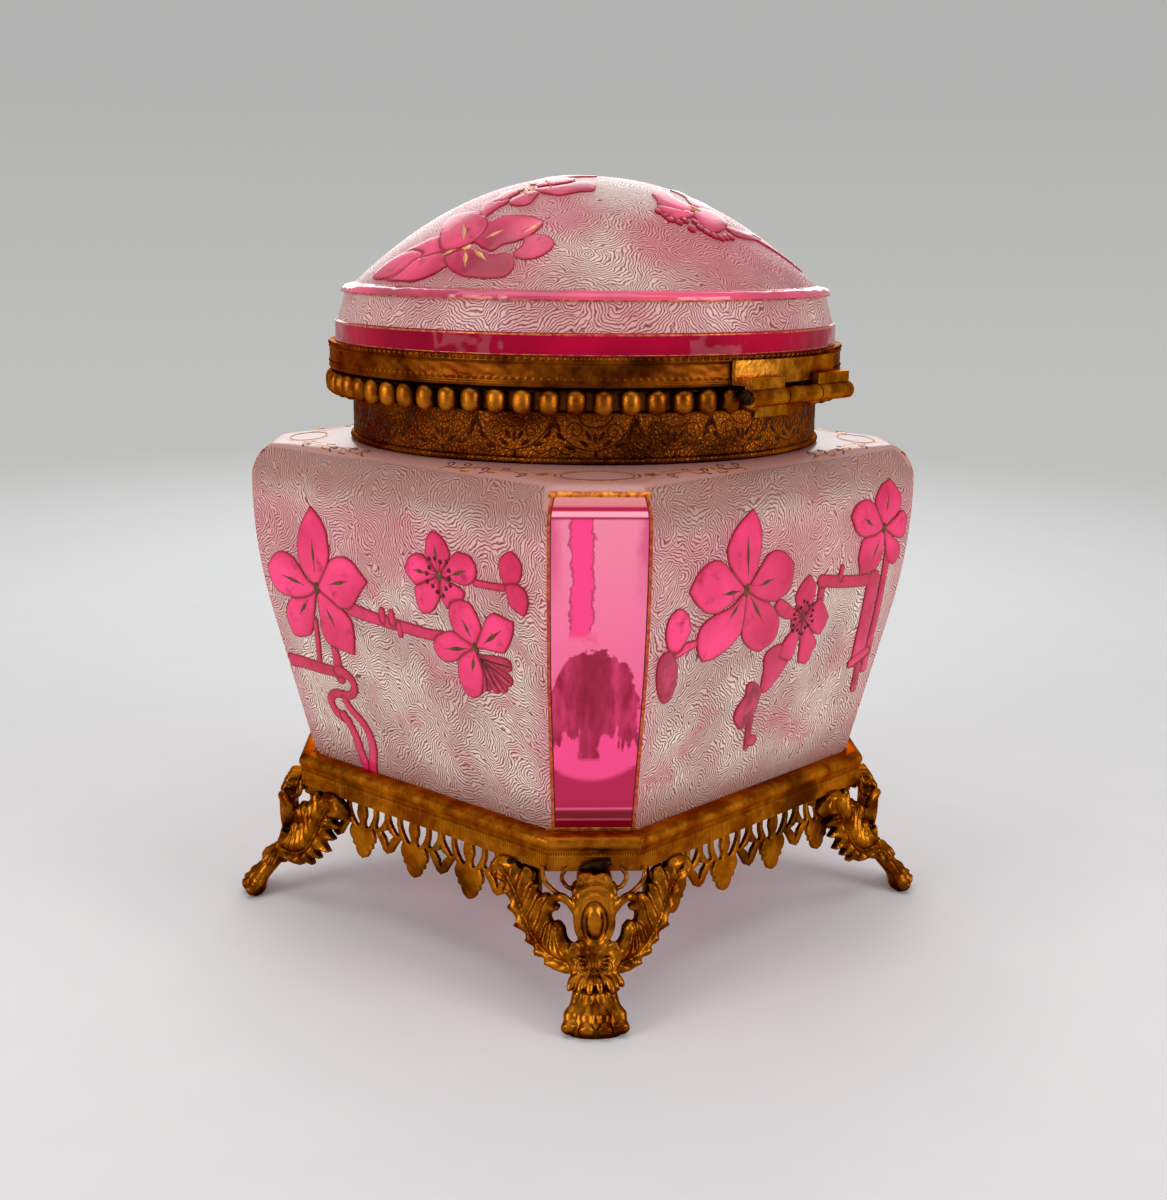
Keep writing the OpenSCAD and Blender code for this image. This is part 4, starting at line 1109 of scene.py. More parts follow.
def lid_spray():
    """Blossoms of the dome, in plan: a large one, one by the apex and a fringed one."""
    spray = Spray()
    near = [
        [(41.6, 3), (38.6, -5), (40.4, -11), (43, -16), (46.6, -15), (49.6, -9), (49.2, 0), (46.4, 5),
         (43.6, 6)],
        [(44, -5), (46.6, -6.6), (48.6, -10), (48, -15), (46, -18.5), (43, -17), (41.8, -12), (42.6, -8)],
        [(43.8, 1.2), (44.4, -2.6), (45.4, -6.1), (48, -7.4), (50.3, -9.5), (50.6, -3.2), (49.4, 1.8),
         (46.7, 4.3)],
        [(40, 17), (37.8, 17.3), (36, 16.4), (34, 17.8), (33.3, 20.4), (33.9, 22.7), (36.3, 23.2),
         (39.1, 21.8), (40.5, 19)],
        [(40.1, 5.7), (38.4, 6.4), (34.9, 4.8), (32.7, 5.9), (31.2, 9.3), (30.4, 12.8), (30.6, 16.5),
         (34.2, 17), (37.1, 15.7), (39.1, 13.4), (41.3, 11.8)],
        [(43.2, 0.6), (40.4, -3.9), (35.8, -8), (32.1, -9.3), (31.1, -6.7), (31.2, -2.5), (33.2, 2.5),
         (35.7, 5.5), (38.4, 6.4), (41.6, 5.2)],
        [(42.3, 6.4), (41.9, 12.9), (40.7, 15), (40.5, 17.5), (41.8, 19.3), (43.6, 19.8), (45.2, 18.9),
         (46.9, 14.7), (47.7, 9.8), (46.6, 5), (44.5, 2.3)],
    ]
    apex = [
        [(16.1, -1.7), (10.8, -2.8), (7.3, -0.8), (2.9, 4.2), (4.4, 6.4), (10.4, 2.4), (17, 1.4)],
        [(28.7, -3.6), (26.5, -3.3), (25.7, -0.1), (26.7, 2.8), (30.2, 2.4), (33.3, 1.6)],
        [(20.6, 0.8), (21.5, -1.9), (23.3, -2.8), (25.9, -2), (27.4, -2.4), (27.2, 1.4), (23.5, 1.8)],
        [(22, 3.6), (23.4, 3), (25.9, 2.5), (28.1, 4.3), (28.1, 7.1), (26.5, 8.5), (23.9, 7.7),
         (21.2, 6)],
        [(20.4, 4.4), (21.6, 7.4), (21, 11.8), (17.2, 14), (14.8, 15.6), (11.7, 13.4), (10.9, 10.5),
         (13.2, 8.8), (16.1, 8.2)],
        [(18.6, 3.4), (16.3, 1), (13.1, 0.4), (10.8, 3.1), (10.7, 6.5), (13.7, 7.9), (17, 6.2)],
    ]
    fringed = [
        [(-3.3, 27.4), (-7, 22), (-6.9, 18.4), (-10.7, 17.6), (-9.4, 21.9), (-11.6, 24.9), (-6.8, 28.6)],
        [(-4.1, 28.6), (-8.2, 29.5), (-8.6, 31.9), (-5.2, 35.5), (0.7, 37.5), (3.2, 36.9), (2.8, 34.2),
         (1, 31.4)],
        [(1.6, 29.6), (5.2, 28.5), (7.6, 27.4), (10, 28.7), (9.9, 30.7), (8.5, 32.3), (5.7, 32.8),
         (1.6, 32)],
        [(-2.4, 29.2), (-1, 25.1), (-2.6, 21), (-1.5, 19.5), (3.5, 22), (5.4, 24.8), (7.6, 27.4),
         (5.2, 28.8), (2.8, 30.6)],
        [(-4.7, 35.4), (-7.8, 35.2), (-10.4, 35.6), (-15.6, 34.4), (-16, 36.4), (-9.1, 38.3),
         (-4.7, 38.1)],
    ]
    for petals in (near, apex, fringed):
        for k, outline in enumerate(petals):
            spray.blob(PETAL, 0.05 * (k % 3), *outline)
    spray.strip([(-14, 36.8), (-18.1, 38), (-26, 39.6)], [2.2, 1.2])
    for x, y in [(9.8, 29.2), (9.5, 30.8), (9.6, 32.2), (8.3, 33.4), (6.2, 33.4), (7.1, 36), (3.8, 34.2),
                 (4.3, 35.9), (3.8, 37.3), (2.9, 38.4), (1.4, 39.1), (-0.3, 38.9), (-2.2, 38.8)]:
        knob = [(x + 0.9 * math.cos(a), y + 0.9 * math.sin(a)) for a in (0, 1.3, 2.5, 3.8, 5.0)]
        spray.blob(BUD, 0.2, *knob)
    for start, end in (((36.2, -0.9), (40.4, 3.5)), ((42, 7.7), (43.5, 13.1)), ((42.6, 6.2), (46, 9.7)),
                       ((39, 8.5), (36.1, 10.4)), ((42.7, 3.6), (44.4, 1.4)), ((35, 15.4), (31, 16.3))):
        spray.spindle(start, end)
    for spot, size in (((41.4, 4.8), 1.3), ((-2.0, 29.4), 1.2), ((20.1, 2.7), 0.8)):
        spray.centre(spot, size)
    for k, a in enumerate(circle(13)):
        reach = 3.2 * (1 + 0.3 * (k % 2))
        spray.centre((19.6 + reach * math.cos(a), 3.6 + 3.4 * math.sin(a)), 0.26)
    spray.flower((-22, -20), [((-33, -25), 10.8, 0.5), ((-26, -8.5), 10.8, 0.5),
                                       ((-9.5, -15), 10.8, 0.5), ((-13.4, -31), 10.4, 0.5),
                                       ((-26.5, -35), 10.4, 0.5)])
    spray.strip([(-33, -24), (-38, -14), (-40, -2), (-36, 10)], [2.6, 2.0, 1.8, 1.4])
    spray.strip([(-12, -30), (0, -35), (12, -35)], [2.4, 1.6])
    spray.flower((-33, 16), [((-33, 25), 7.2, 0.5), ((-25, 19), 7.2, 0.5), ((-27, 8.6), 7.0, 0.5),
                                      ((-38, 7.6), 7.0, 0.5), ((-42.4, 17), 7.0, 0.5)], veins=False)
    spray.stamens((-33, 16), 4.0, 14)
    spray.shape(PETAL, petal((11, -34.6), (21, -38), 7.0, 0.5, 0.5), 0.0)
    return spray


def carve(name, spray, place, rulings, body, limit, glass=OVERLAY, vein=VEIN):
    """Makes a spray's relief, then its painted veins, centres and stamens on top."""
    u, v, x, y = rulings
    union = np.full(x.shape, -9.0)
    edge, kind, height = np.zeros((3, *x.shape))
    for look, outline, lift in spray.shapes:
        drawn_as_strip = isinstance(outline, tuple)
        points, margin = (outline[0], outline[1].max() + 1) if drawn_as_strip else (outline, 1)
        low, high = points.min(0) - margin, points.max(0) + margin
        window = (slice(*np.searchsorted(v, (low[1], high[1]))),
                  slice(*np.searchsorted(u, (low[0], high[0]))))
        if drawn_as_strip:
            sd = sd_strip(*outline, x[window], y[window])
        else:
            sd = sd_polygon(outline, x[window], y[window])
        inside = sd > 0
        deep = np.maximum(sd, 0)
        edge[window] = np.where(inside, sd, np.minimum(edge[window], -sd))
        kind[window][inside] = look
        # Rounded along its edge and slightly hollow in its middle
        rise = 0.20 + lift + 0.22 * (1 - np.exp(-deep / 0.6)) - 0.03 * np.sqrt(deep)
        height[window][inside] = rise[inside]
        union[window] = np.maximum(union[window], sd)
    union = np.minimum(union, limit(x, y))
    sheet = Parts()
    values = relief(sheet, u, v, union, height, place, values={"edge": edge, "kind": kind})
    sheet.build(name, glass, body, "ruby_glass", values=values, sharp=50)

    def rise_at(path):
        i = np.clip(np.searchsorted(v, path[:, 1]), 1, len(v) - 1)
        j = np.clip(np.searchsorted(u, path[:, 0]), 1, len(u) - 1)
        return height[i, j]

    def knob(parts, c, size, stretch):
        """Low rounded button."""
        rise = rise_at(c[None])[0]
        a = circle(12)
        points = []
        for f, h in ((1.05, -0.1), (0.95, 0.12), (0.6, 0.24)):
            p = c + np.stack([np.cos(a), np.sin(a)], -1) * size * f * stretch
            points.append(place(p[:, 0], p[:, 1], np.full(12, h + rise)))
        ends = [place(c[:1], c[1:], np.array([h + rise]))[0] for h in (-0.1, 0.27)]
        skin(parts, points, ends)

    veins, threads = Parts(), Parts()
    for mark, path, size in spray.marks:
        if mark == "centre":
            knob(veins, np.array(path[0], float), size, np.array([0.8, 1.2]))
        elif mark == "dot":
            knob(threads, np.array(path[0], float), size, 1)
        else:
            curve = smooth_path(path, 13)
            if mark == "spindle":
                size = size * (0.16 + 0.84 * np.sin(math.pi * np.linspace(0, 1, 13)) ** 3)
            target = veins if mark == "spindle" else threads
            ribbon(target, curve, size, place, 0.07, rise_at(curve))
    veins.build(name + "_veins", vein, body, "ruby_glass")
    threads.build(name + "_threads", DARK_LINE, body, "ruby_glass")


def sprays():
    """The four sides' sprays and the dome's."""
    side = grid(-46, 46.01, 33, 106, 0.3)
    dome = grid(-51, 51.01, -51, 51.01, 0.3)

    def within(x, z):
        return np.minimum(ROOT2 * flare(z, CORNER) - flare(z, FLAT) - 0.9 - np.abs(x), 105 - z)

    # Each side is drawn with its own left to the left, seen from outside
    for name, spray, turn in (("right", left_spray(), 0), ("back", right_spray(), TAU / 4),
                              ("left", plain_spray(), TAU / 2), ("front", plain_spray(), -TAU / 4)):
        carve(f"spray_{name}_side", spray, on_side(turn), side, "base", within)
    carve("spray_lid", lid_spray(), on_dome, dome, "lid", lambda x, y: 50.4 - np.hypot(x, y),
          LID_OVERLAY, PALE_VEIN)


# ---- Gilt lines ----

SCROLLS = [
    [(12.0, 60.4), (14.6, 59.8), (17.4, 57.2), (20.4, 55.4), (23.0, 52.6), (26.0, 51.2)],
    [(12.2, 59.4), (14.0, 57.2), (16.6, 56.2), (18.4, 57.0)],
    [(17.4, 57.2), (19.6, 57.4), (21.4, 55.8)],
    [(26.0, 51.2), (28.6, 48.8), (31.0, 47.4)],
    [(23.0, 52.6), (24.8, 53.2), (26.6, 51.6)],
]
SCROLL_CURLS = [(14.6, 61.0), (17.8, 55.4), (21.8, 54.4), (25.4, 49.8), (28.8, 47.0)]


def rosette(parts, place, centre, r):
    """Five short leaves round a spot."""
    c = np.array(centre)
    width = r * 0.8 * np.sin(np.linspace(0.5, 2.9, 7))
    for a in circle(5):
        tip = c + r * np.array([math.cos(a), math.sin(a)])
        ribbon(parts, smooth_path([c, (c + tip) / 2, tip], 7), width, place, 0.10)


def on_shoulder(turn):
    """Maps (along, distance from the axis, up) on the shoulder over a cut corner."""
    at = facing(turn)

    def place(u, d, h):
        x, y = np.abs(at(u, d, 0.0)[..., :2]).T
        over = np.maximum(np.maximum(x, y) - FLAT[0], (x + y) / ROOT2 - CORNER[0])
        lean = np.clip(over + SHOULDER_R, 0, SHOULDER_R - 0.1)
        edge = TURN_Z + np.sqrt(SHOULDER_R ** 2 - lean ** 2)
        return at(u, d, np.minimum(shoulder_height(np.hypot(u, d)), edge) + h)

    return place


def gilt_lines():
    """Lines beside the cut corners, scrolls on the shoulder and the lid's gilt rings."""
    lines, sides, dark = Parts(), Parts(), Parts()
    z = np.linspace(37, 106.4, 60)
    edge = ROOT2 * flare(z, FLAT) - flare(z, CORNER)
    across = np.linspace(-1, 1, 14) * 9.6
    turn = np.linspace(0, TAU, 49)
    for k in range(4):
        corner = on_side((k + 0.5) * TAU / 4, CORNER)
        shoulder = on_shoulder((k + 0.5) * TAU / 4)
        for s in (-1, 1):
            width = 0.62 + 0.08 * np.sin(z * 1.3)
            ribbon(sides, np.stack([s * (edge - 0.35), z], -1), width, corner, 0.10)
            ribbon(dark, np.stack([s * (edge - 0.75), z], -1), 0.18, corner, 0.08)
        for level, width in ((106.8, 1.0), (37.0, 0.8)):
            ribbon(lines, np.stack([across, np.full(14, level)], -1), width, corner, 0.12)
        for parts, grow, width in ((lines, 1.0, 0.5), (dark, 0.86, 0.28)):
            oval = np.stack([8.3 * grow * np.cos(turn), 62.5 + 4.7 * grow * np.sin(turn)], -1)
            ribbon(parts, oval, width, shoulder, 0.07)
        for s in (-1, 1):
            rosette(lines, shoulder, (s * 10.4, 61.2), 1.7)
            for path in SCROLLS:
                curve = smooth_path([(s * u, d) for u, d in path], 40)
                ribbon(lines, curve, 0.42, shoulder, 0.07)
            for u, d in SCROLL_CURLS:
                hook = curl(u, d, (1.3, 0.25), (0.6, TAU * 1.15), 22) * [s, 1]
                ribbon(dark, hook, 0.3, shoulder, 0.07)
    lines.build("gilt_scrolls", GILT, "base", "gilt_brass")
    sides.build("gilt_edge_lines", EDGE_GILT, "base", "gilt_brass")
    dark.build("dark_scrolls", DARK_LINE, "base", "gilt_brass")
    ring = Parts()
    a = np.linspace(0, TAU, 13)[:-1]
    for r, z, w in ((54.22, BELT_TOP + 0.32, 0.16), (55.70, RIM_TOP - 0.1, 0.20),
                    (55.73, RIM_TOP - 4.0, 0.14)):
        lathe(ring, np.stack([r + 0.16 * np.cos(a), z + w * np.sin(a)], -1), 240,
              lambda t, rr, zz: 0.05 * np.sin(17 * t) * np.sin(5 * t + 1))
    ring.build("lid_gilt_rings", WORN_GILT, "lid", "gilt_brass")


# ---- Metal ----

def beads():
    """Row of oval beads with a reeded fillet above and below."""
    parts = Parts()
    ring_r, height, half, middle = 56.0, 5.4, 2.1, 122.35
    hinge_half = 7.5
    turn = circle(14)
    for a in TAU / 4 + circle(66):
        x, y = ring_r * math.cos(a), ring_r * math.sin(a)
        if abs(x) < hinge_half and y > 0:
            continue
        rows = []
        for s in np.linspace(-0.98, 0.98, 9):
            w = half * (1 - abs(s) ** 2.8) ** 0.5
            level = np.full(14, middle + s * height / 2)
            rows.append(np.stack([x + w * np.cos(turn), y + w * np.sin(turn), level], -1))
        skin(parts, rows, [[x, y, middle - height / 2], [x, y, middle + height / 2]])
    for profile in ([(54.2, 124.3), (56.2, 124.3), (56.5, 124.5), (56.2, 124.75), (54.2, 124.75)],
                    [(54.2, 120.2), (54.9, 120.0), (55.4, 120.3), (54.9, 120.6), (54.2, 120.6)],
                    [(53.0, 120.2), (54.4, 120.2), (54.4, 124.4), (53.0, 124.4)]):
        lathe_arc(parts, profile)
    parts.build("bead_row", BRASS, "base", "gilt_brass", replaces=("bead_gallery",))


def collar_engraving():
    """Leafy swags cut round the collar, drawn as (along, height) from the middle of a swag."""
    cuts = Parts()
    count = 20
    pitch = TAU * COLLAR_R / count

    def on_collar(u, z, h):
        return turned(COLLAR_R + h, z, np.asarray(u) / COLLAR_R)

    swag = [(-7.9, 119.6), (-7.2, 116.4), (-4.6, 113.6), (-0.6, 112.4), (3.4, 113.4), (6.4, 116.2),
            (7.8, 119.4)]
    vines = [swag, [(7.8, 113.0), (5.6, 111.8), (3.6, 112.6)],
             [(-7.8, 113.0), (-5.8, 111.7), (-3.8, 112.4)], [(0, 112.4), (0.3, 110.8)],
             [(-3.6, 119.4), (-2.2, 117.6), (0, 117.0), (2.2, 117.6), (3.6, 119.4)]]
    curls = [(-3.9, 116.4, 1.9), (3.7, 116.2, 1.9), (8.2, 111.9, 1.2)]
    leaves = [(-6.9, 115.2, 2.4), (-5.0, 113.0, 2.9), (0.2, 111.4, 1.57), (5.0, 113.6, 0.3),
              (6.9, 115.6, 0.8), (0.0, 115.0, 1.57), (-1.3, 115.4, 2.1), (1.3, 115.4, 1.0),
              (8.1, 118.0, 1.57), (7.4, 117.2, 1.1), (8.9, 117.2, 2.0), (-2.2, 113.9, 2.6),
              (2.4, 113.9, 0.6)]
    for k in range(count):
        middle = (k + 0.5) * pitch
        for path in vines:
            curve = smooth_path([(middle + p[0], p[1]) for p in path], 8 * len(path))
            ribbon(cuts, curve, 0.26, on_collar, 0.05)
        for u, z, r in curls:
            hook = curl(0, z, (r, 0.3), (0, TAU * 1.3), 24) * [1 if u > 0 else -1, 1]
            ribbon(cuts, hook + [middle + u, 0], 0.24, on_collar, 0.05)
        for u, z, lean in leaves:
            s = np.linspace(-1.1, 1.1, 9)
            path = np.stack([middle + u + s * math.cos(lean), z + s * math.sin(lean)], -1)
            ribbon(cuts, path, 0.9 * np.sin(np.linspace(0.25, 2.89, 9)), on_collar, 0.05)
    cuts.build("collar_engraving", CUT_LINE, "base", "gilt_brass")


def lathe_arc(parts, profile):
    """Ring with a gap at the back, behind the hinge's middle knuckle."""
    profile = np.asarray(profile, float)
    gap_half, ring_r = 7.9, 54.0
    start = math.asin(gap_half / ring_r)
    a = TAU / 4 + start + np.linspace(0, TAU - 2 * start, 220)[:, None]
    rows = turned(profile[:, 0], profile[:, 1], a)
    skin(parts, rows, rows[[0, -1]].mean(1), True)


def lid_band():
    """Brass band of the lid: knurled top edge, thin fillet, hammered face, dotted foot."""
    outline = [(47.0, LID_Z), (57.0, LID_Z)]
    outline += [(57.05, z) for z in np.linspace(LID_Z + 0.05, BAND_TOP - 0.05, 42)]
    outline += [(56.7, BAND_TOP), (55.9, BAND_TOP), (55.9, LID_Z + 0.6), (47.0, LID_Z + 0.6)]

    def tool(a, r, z):
        """How far the tooling stands out of the band's face."""
        t = (z - LID_Z) / (BAND_TOP - LID_Z)

        def bulge(middle, reach, power=2):
            return np.exp(-((t - middle) / reach) ** power)

        face = r > 57.01
        ridges = 0.17 * np.cos(a * 230) * bulge(0.93, 0.045, 4) + 0.14 * bulge(0.93, 0.06, 4)
        fillets = 0.24 * bulge(0.80, 0.035) + 0.22 * bulge(0.10, 0.05)
        dots = 0.26 * bulge(0.26, 0.04) * (0.5 + 0.5 * np.cos(a * 230)) ** 2
        dents = 0.05 * np.sin(a * 61 + 3 * np.sin(a * 9)) * np.sin(t * 17 + a * 23)
        dents = dents * (t < 0.74) * (t > 0.28)
        return face * np.clip(ridges + fillets + dots + dents, -0.3, 0.42)

    parts = Parts()
    lathe(parts, outline, 1380, tool)
    parts.build("lid_band_tooled", HAMMERED, "lid", "gilt_brass", replaces=("lid_band",), sharp=60)


def upright(turn, distance):
    """Maps (along, height, out) on an upright plane square to a direction."""
    at = facing(turn)
    return lambda u, z, h: at(u, distance + h, z)


# Half of a gallery's lobed edge and its holes, as (along, height)
GALLERY_EDGE = [(0, 15.7), (1.2, 16.1), (2.1, 17.1), (2.3, 18.1), (3.3, 18.5), (3.2, 19.5), (4.0, 20.1),
                (4.3, 21.4), (3.8, 22.6), (3.5, 23.2), (4.0, 23.7), (5.2, 22.6), (6.3, 21.1), (7.4, 19.5),
                (8.7, 18.9)]
COMMA = [(1.1, 28.9), (2.4, 29.3), (4.0, 29.0), (4.2, 27.2), (3.6, 25.4), (2.3, 23.6), (1.2, 23.2),
         (0.9, 24.4), (1.5, 26.2)]
SLOT = [(5.3, 29.0), (6.6, 29.3), (7.8, 28.9), (7.9, 27.0), (7.0, 25.4), (5.5, 24.0), (4.7, 24.3),
        (5.2, 26.4)]
STAR = [(8.7, 25.4), (9.3, 24.2), (10.8, 23.6), (9.6, 22.4), (8.7, 20.6), (7.8, 22.4), (6.6, 23.6),
        (8.1, 24.2)]


def gallery_field(x, z, shift, half):
    """Pierced gallery: lobed leaves hung on buds between comma-shaped holes, open drops between."""
    pitch = 17.4
    count = int(half / pitch) + 2
    low = np.array(GALLERY_EDGE)
    mirrored = (low * [-1, 1] + [pitch, 0])[-2:0:-1]
    period = np.concatenate([low, mirrored])
    bottom = np.concatenate([period + [k * pitch, 0] for k in range(-count, count)])
    reach = count * pitch
    plate = np.concatenate([bottom, [(reach, LEG_H + 0.2), (-reach, LEG_H + 0.2)]]) + [shift, 0]
    best = np.minimum(sd_polygon(plate, x, z), half - np.abs(x))
    for k in range(-count, count):
        for way in (-1, 1):
            for hole in (COMMA, SLOT, STAR):
                shape = smooth_path(np.array(hole) * [way, 1] + [shift + k * pitch, 0], 32, True)
                if np.abs(shape[:, 0]).max() < half - 0.5:
                    best = np.minimum(best, -sd_polygon(shape, x, z))
    return best


def galleries():
    """The four pierced strips, each with its own start of the pattern."""
    half = 35.2
    u, v, x, z = grid(-half - 1, half + 1.01, 14.6, LEG_H + 0.6, 0.22)
    sides = (("gallery_front", -TAU / 4, 0.0), ("gallery_right", 0.0, -3.2),
             ("gallery_back", TAU / 4, -8.7), ("gallery_left", TAU / 2, 4.0))
    for node, turn, shift in sides:
        best = gallery_field(x, z, shift, half)
        worn = 0.05 * np.sin(x * 1.3 + 2 * np.sin(z * 0.7)) * np.sin(z * 1.1 + x * 0.4)
        height = 0.35 + 0.35 * np.sqrt(np.clip(best, 0, 0.45) / 0.45) + worn
        parts = Parts()
        relief(parts, u, v, best, height, upright(turn, BAND_FLAT - 2.6), depth=0.35)
        parts.build(node + "_pierced", PLATE, "base", "gilt_brass", replaces=(node,))


def frame_ring():
    """Base frame: a rolled rim that runs into a plain band, the seat and its ledge inside."""
    outer = [(0.5, LEG_H), (0.5, 31.6), (0.52, 32.6), (0.6, 33.3), (0.45, 33.8), (0.15, 34.3),
             (0.0, 34.9), (0.06, 35.5), (0.35, 36.1), (0.9, 36.5), (1.6, 36.75), (2.3, FRAME_TOP)]
    rows = [(RIM_FLAT - inset, RIM_CORNER - inset, z) for inset, z in outer]
    rows += [(RIM_FLAT - RIM_T + 0.05, RIM_CORNER - RIM_T + 0.05, z) for z in (FRAME_TOP, LEDGE_Z)]
    rows += [(FLAT[1] - 4.5, CORNER[1] - 4.5, z) for z in (LEDGE_Z, LEDGE_Z - 1.4)]
    rows += [(RIM_FLAT - RIM_T + 0.6, RIM_CORNER - RIM_T + 0.6, z) for z in (LEDGE_Z - 1.4, LEG_H)]
    points = []
    for flat_half, corner_half, z in rows:
        xy = octagon(flat_half, corner_half, (24, 12))[0]
        points.append(np.column_stack([xy, np.full(len(xy), z)]))
    build("frame_ring", np.concatenate(points), [ring_faces(len(rows), len(points[0]))], [FRAME],
          "base", "gilt_brass", replaces=("base_frame",), sharp=30)


def solder():
    """Blackened solder on the front leg's joint and at the hinge's end."""
    spots = Parts()
    # Points as (out from the axis, along, height) at the front leg's corner
    lumps = [([(65.7, -2.8, 30.2), (66.0, -0.8, 30.8), (66.2, 1.6, 31.3), (65.9, 3.4, 31.6)],
              (0.5, 1.0, 1.3, 0.6)),
             ([(57.4, 17.6, 27.0), (57.7, 17.9, 27.7), (57.4, 17.6, 28.6)], (0.6, 1.2, 0.5)),
             ([(59.0, -15.4, 29.0), (58.6, -16.6, 29.0), (57.4, -17.6, 28.6)], (0.5, 0.9, 0.5))]
    for path, thick in lumps:
        curve = smooth_path([facing(TAU / 8)(u, d, z) for d, u, z in path], 14)
        sweep(spots, curve, spread(thick, 14), 10)
    spots.build("solder_spots", SOLDER, "base", "gilt_brass")
    blot = Parts()
    curve = smooth_path([(16.9, 58.2, 124.4), (17.3, 58.8, 123.4), (17.2, 59.6, 122.2)], 12)
    sweep(blot, curve, spread([0.8, 1.5, 0.8], 12), 10)
    blot.build("hinge_solder", SOLDER, "lid", "gilt_brass")


def leg_parts():
    """One leg along +X: cartouche with its oval boss, scrolls, leafy wings and a lion's paw."""
    parts = Parts()
    front, boss_z = 69.4, 20.7

    def shield_out(z):
        """How far out the cartouche stands at height z."""
        return np.interp(z, [8, 10.5, 14, 23, 26.5, 29.5, 31.6],
                         [72.0, 71.0, 69.6, 69.8, 69.2, 67.6, 66.6])

    def on_shield(u, z, h):
        return np.stack([shield_out(z) + h, np.asarray(u), z], -1)

    u, v, x, z = grid(-7, 7.01, 7.6, 32.2, 0.2)
    w = np.abs(x)
    outline = smooth_path([(0, 29.8), (1.6, 30.3), (3.0, 29.9), (3.6, 29.0), (3.3, 28.3), (4.3, 27.7),
                           (4.5, 26.3), (4.1, 25.0), (4.2, 22.5), (4.1, 19.5), (3.3, 17.2), (2.8, 16.3),
                           (3.8, 15.4), (4.7, 14.2), (5.0, 12.4), (4.4, 10.9), (4.6, 9.6), (4.2, 8.2),
                           (0, 8.2)], 110)
    full = np.concatenate([outline, (outline * [-1, 1])[-2:0:-1]])
    sd = sd_polygon(full, x, z)
    oval = 1 - np.hypot(w / 2.7, (z - boss_z) / 4.7)
    height = 0.5 + 0.9 * np.sqrt(np.clip(sd, 0, 1.0))
    height -= 0.9 * np.clip(oval * 6 + 0.4, 0, 1)
    arch = np.hypot(w, (z - 22.4) * 0.9)
    arched = np.clip((z - 25.4) / 0.8, 0, 1) * np.clip((29.4 - z) / 0.6, 0, 1)
    height += 0.32 * np.cos(arch * 5.4) * arched
    height += 0.4 * (0.5 + 0.5 * np.cos(w * 3.6)) * np.exp(-((z - 30.2) / 0.8) ** 2)
    fan = np.arctan2(w, z - 7.0)
    height += 0.3 * np.cos(fan * 26) * np.exp(-((z - 13.6) / 1.8) ** 2)
    relief(parts, u, v, sd, height, on_shield, depth=2.2)

    # Oval boss in its frame
    turn = np.linspace(0, TAU, 33)
    ring = np.stack([np.full(33, front + 0.9), 2.75 * np.cos(turn), boss_z + 4.8 * np.sin(turn)], -1)
    sweep(parts, ring, 0.42, 8)
    rows = []
    for f, out in ((1, -0.6), (0.98, 0.5), (0.88, 1.1), (0.66, 1.6), (0.36, 1.85)):
        rows.append(np.stack([np.full(32, front + out), 1.95 * f * np.cos(turn[:-1]),
                              boss_z + 3.95 * f * np.sin(turn[:-1])], -1))
    skin(parts, rows, [[front - 0.6, 0, boss_z + 0.2], [front + 1.95, 0, boss_z + 0.2]])
    for s in (-1, 1):
        for y, z, r, out in ((2.3, 12.2, 2.2, 1.6), (4.3, 15.0, 1.2, 1.0), (3.3, 27.4, 1.0, 0.9)):
            y, h = (curl(y, z, (r, 0.35), (1.2, 1.2 + TAU * 1.15), 30) * [s, 1]).T
            d = shield_out(h) + out * np.linspace(0.95, 1.15, 30)
            sweep(parts, np.stack([d, y, h], -1), np.linspace(0.46, 0.36, 30), 7)
        for path, thick in LEG_SCROLLS:
            curve = smooth_path(np.array(path) * [1, s, 1], 20)
            sweep(parts, curve, spread(thick, 20), 8)
        wing(parts, s)
    paw(parts)
    return parts


# Small scrolls of a leg, as (out, aside, height), and their thickness along the way
LEG_SCROLLS = [
    ([(69.6, 3.8, 22.6), (70.3, 4.8, 24.6), (70.0, 6.4, 25.9), (68.6, 7.9, 25.2), (67.6, 8.2, 23.6),
      (67.4, 7.0, 22.6)], (0.75, 1.0, 0.8)),
    ([(65.0, 10.4, 30.6), (65.3, 10.0, 27.8), (66.4, 8.4, 26.2), (68.0, 6.8, 25.6)], (0.5, 0.55, 0.5)),
    ([(65.8, 5.4, 30.4), (66.4, 6.5, 28.8), (67.2, 5.6, 27.2), (68.4, 4.2, 26.9)], (0.45, 0.5, 0.45)),
    ([(70.6, 4.0, 16.6), (70.7, 2.6, 15.0), (71.2, 0.9, 13.7), (71.4, 0.0, 12.9)], (0.4, 0.5, 0.5)),
    ([(70.9, 4.8, 12.6), (71.6, 3.6, 10.2), (72.3, 1.6, 9.4), (72.5, 0.0, 9.9)], (0.5, 0.6, 0.6)),
]

# Outline of a leg's wing, as (along, height)
WING = [(-2.0, 10.2), (1.5, 9.3), (4.8, 9.5), (5.2, 11.0), (8.6, 10.4), (8.0, 12.6), (11.4, 12.6),
        (10.2, 14.8), (14.6, 15.0), (12.9, 17.4), (16.6, 18.6), (14.7, 20.6), (18.2, 21.8), (16.6, 23.8),
        (19.8, 24.2), (21.8, 26.2), (20.2, 28.2), (17.8, 29.7), (14.4, 29.6), (12.6, 28.0), (11.2, 29.0),
        (9.4, 28.0), (9.6, 26.0), (7.8, 25.8), (7.9, 24.0), (5.6, 24.6), (3.6, 23.4), (3.2, 21.6),
        (4.6, 20.6), (4.4, 19.0), (2.6, 19.6), (1.0, 18.6), (0.6, 17.0), (-0.4, 16.0), (-2.0, 15.4)]


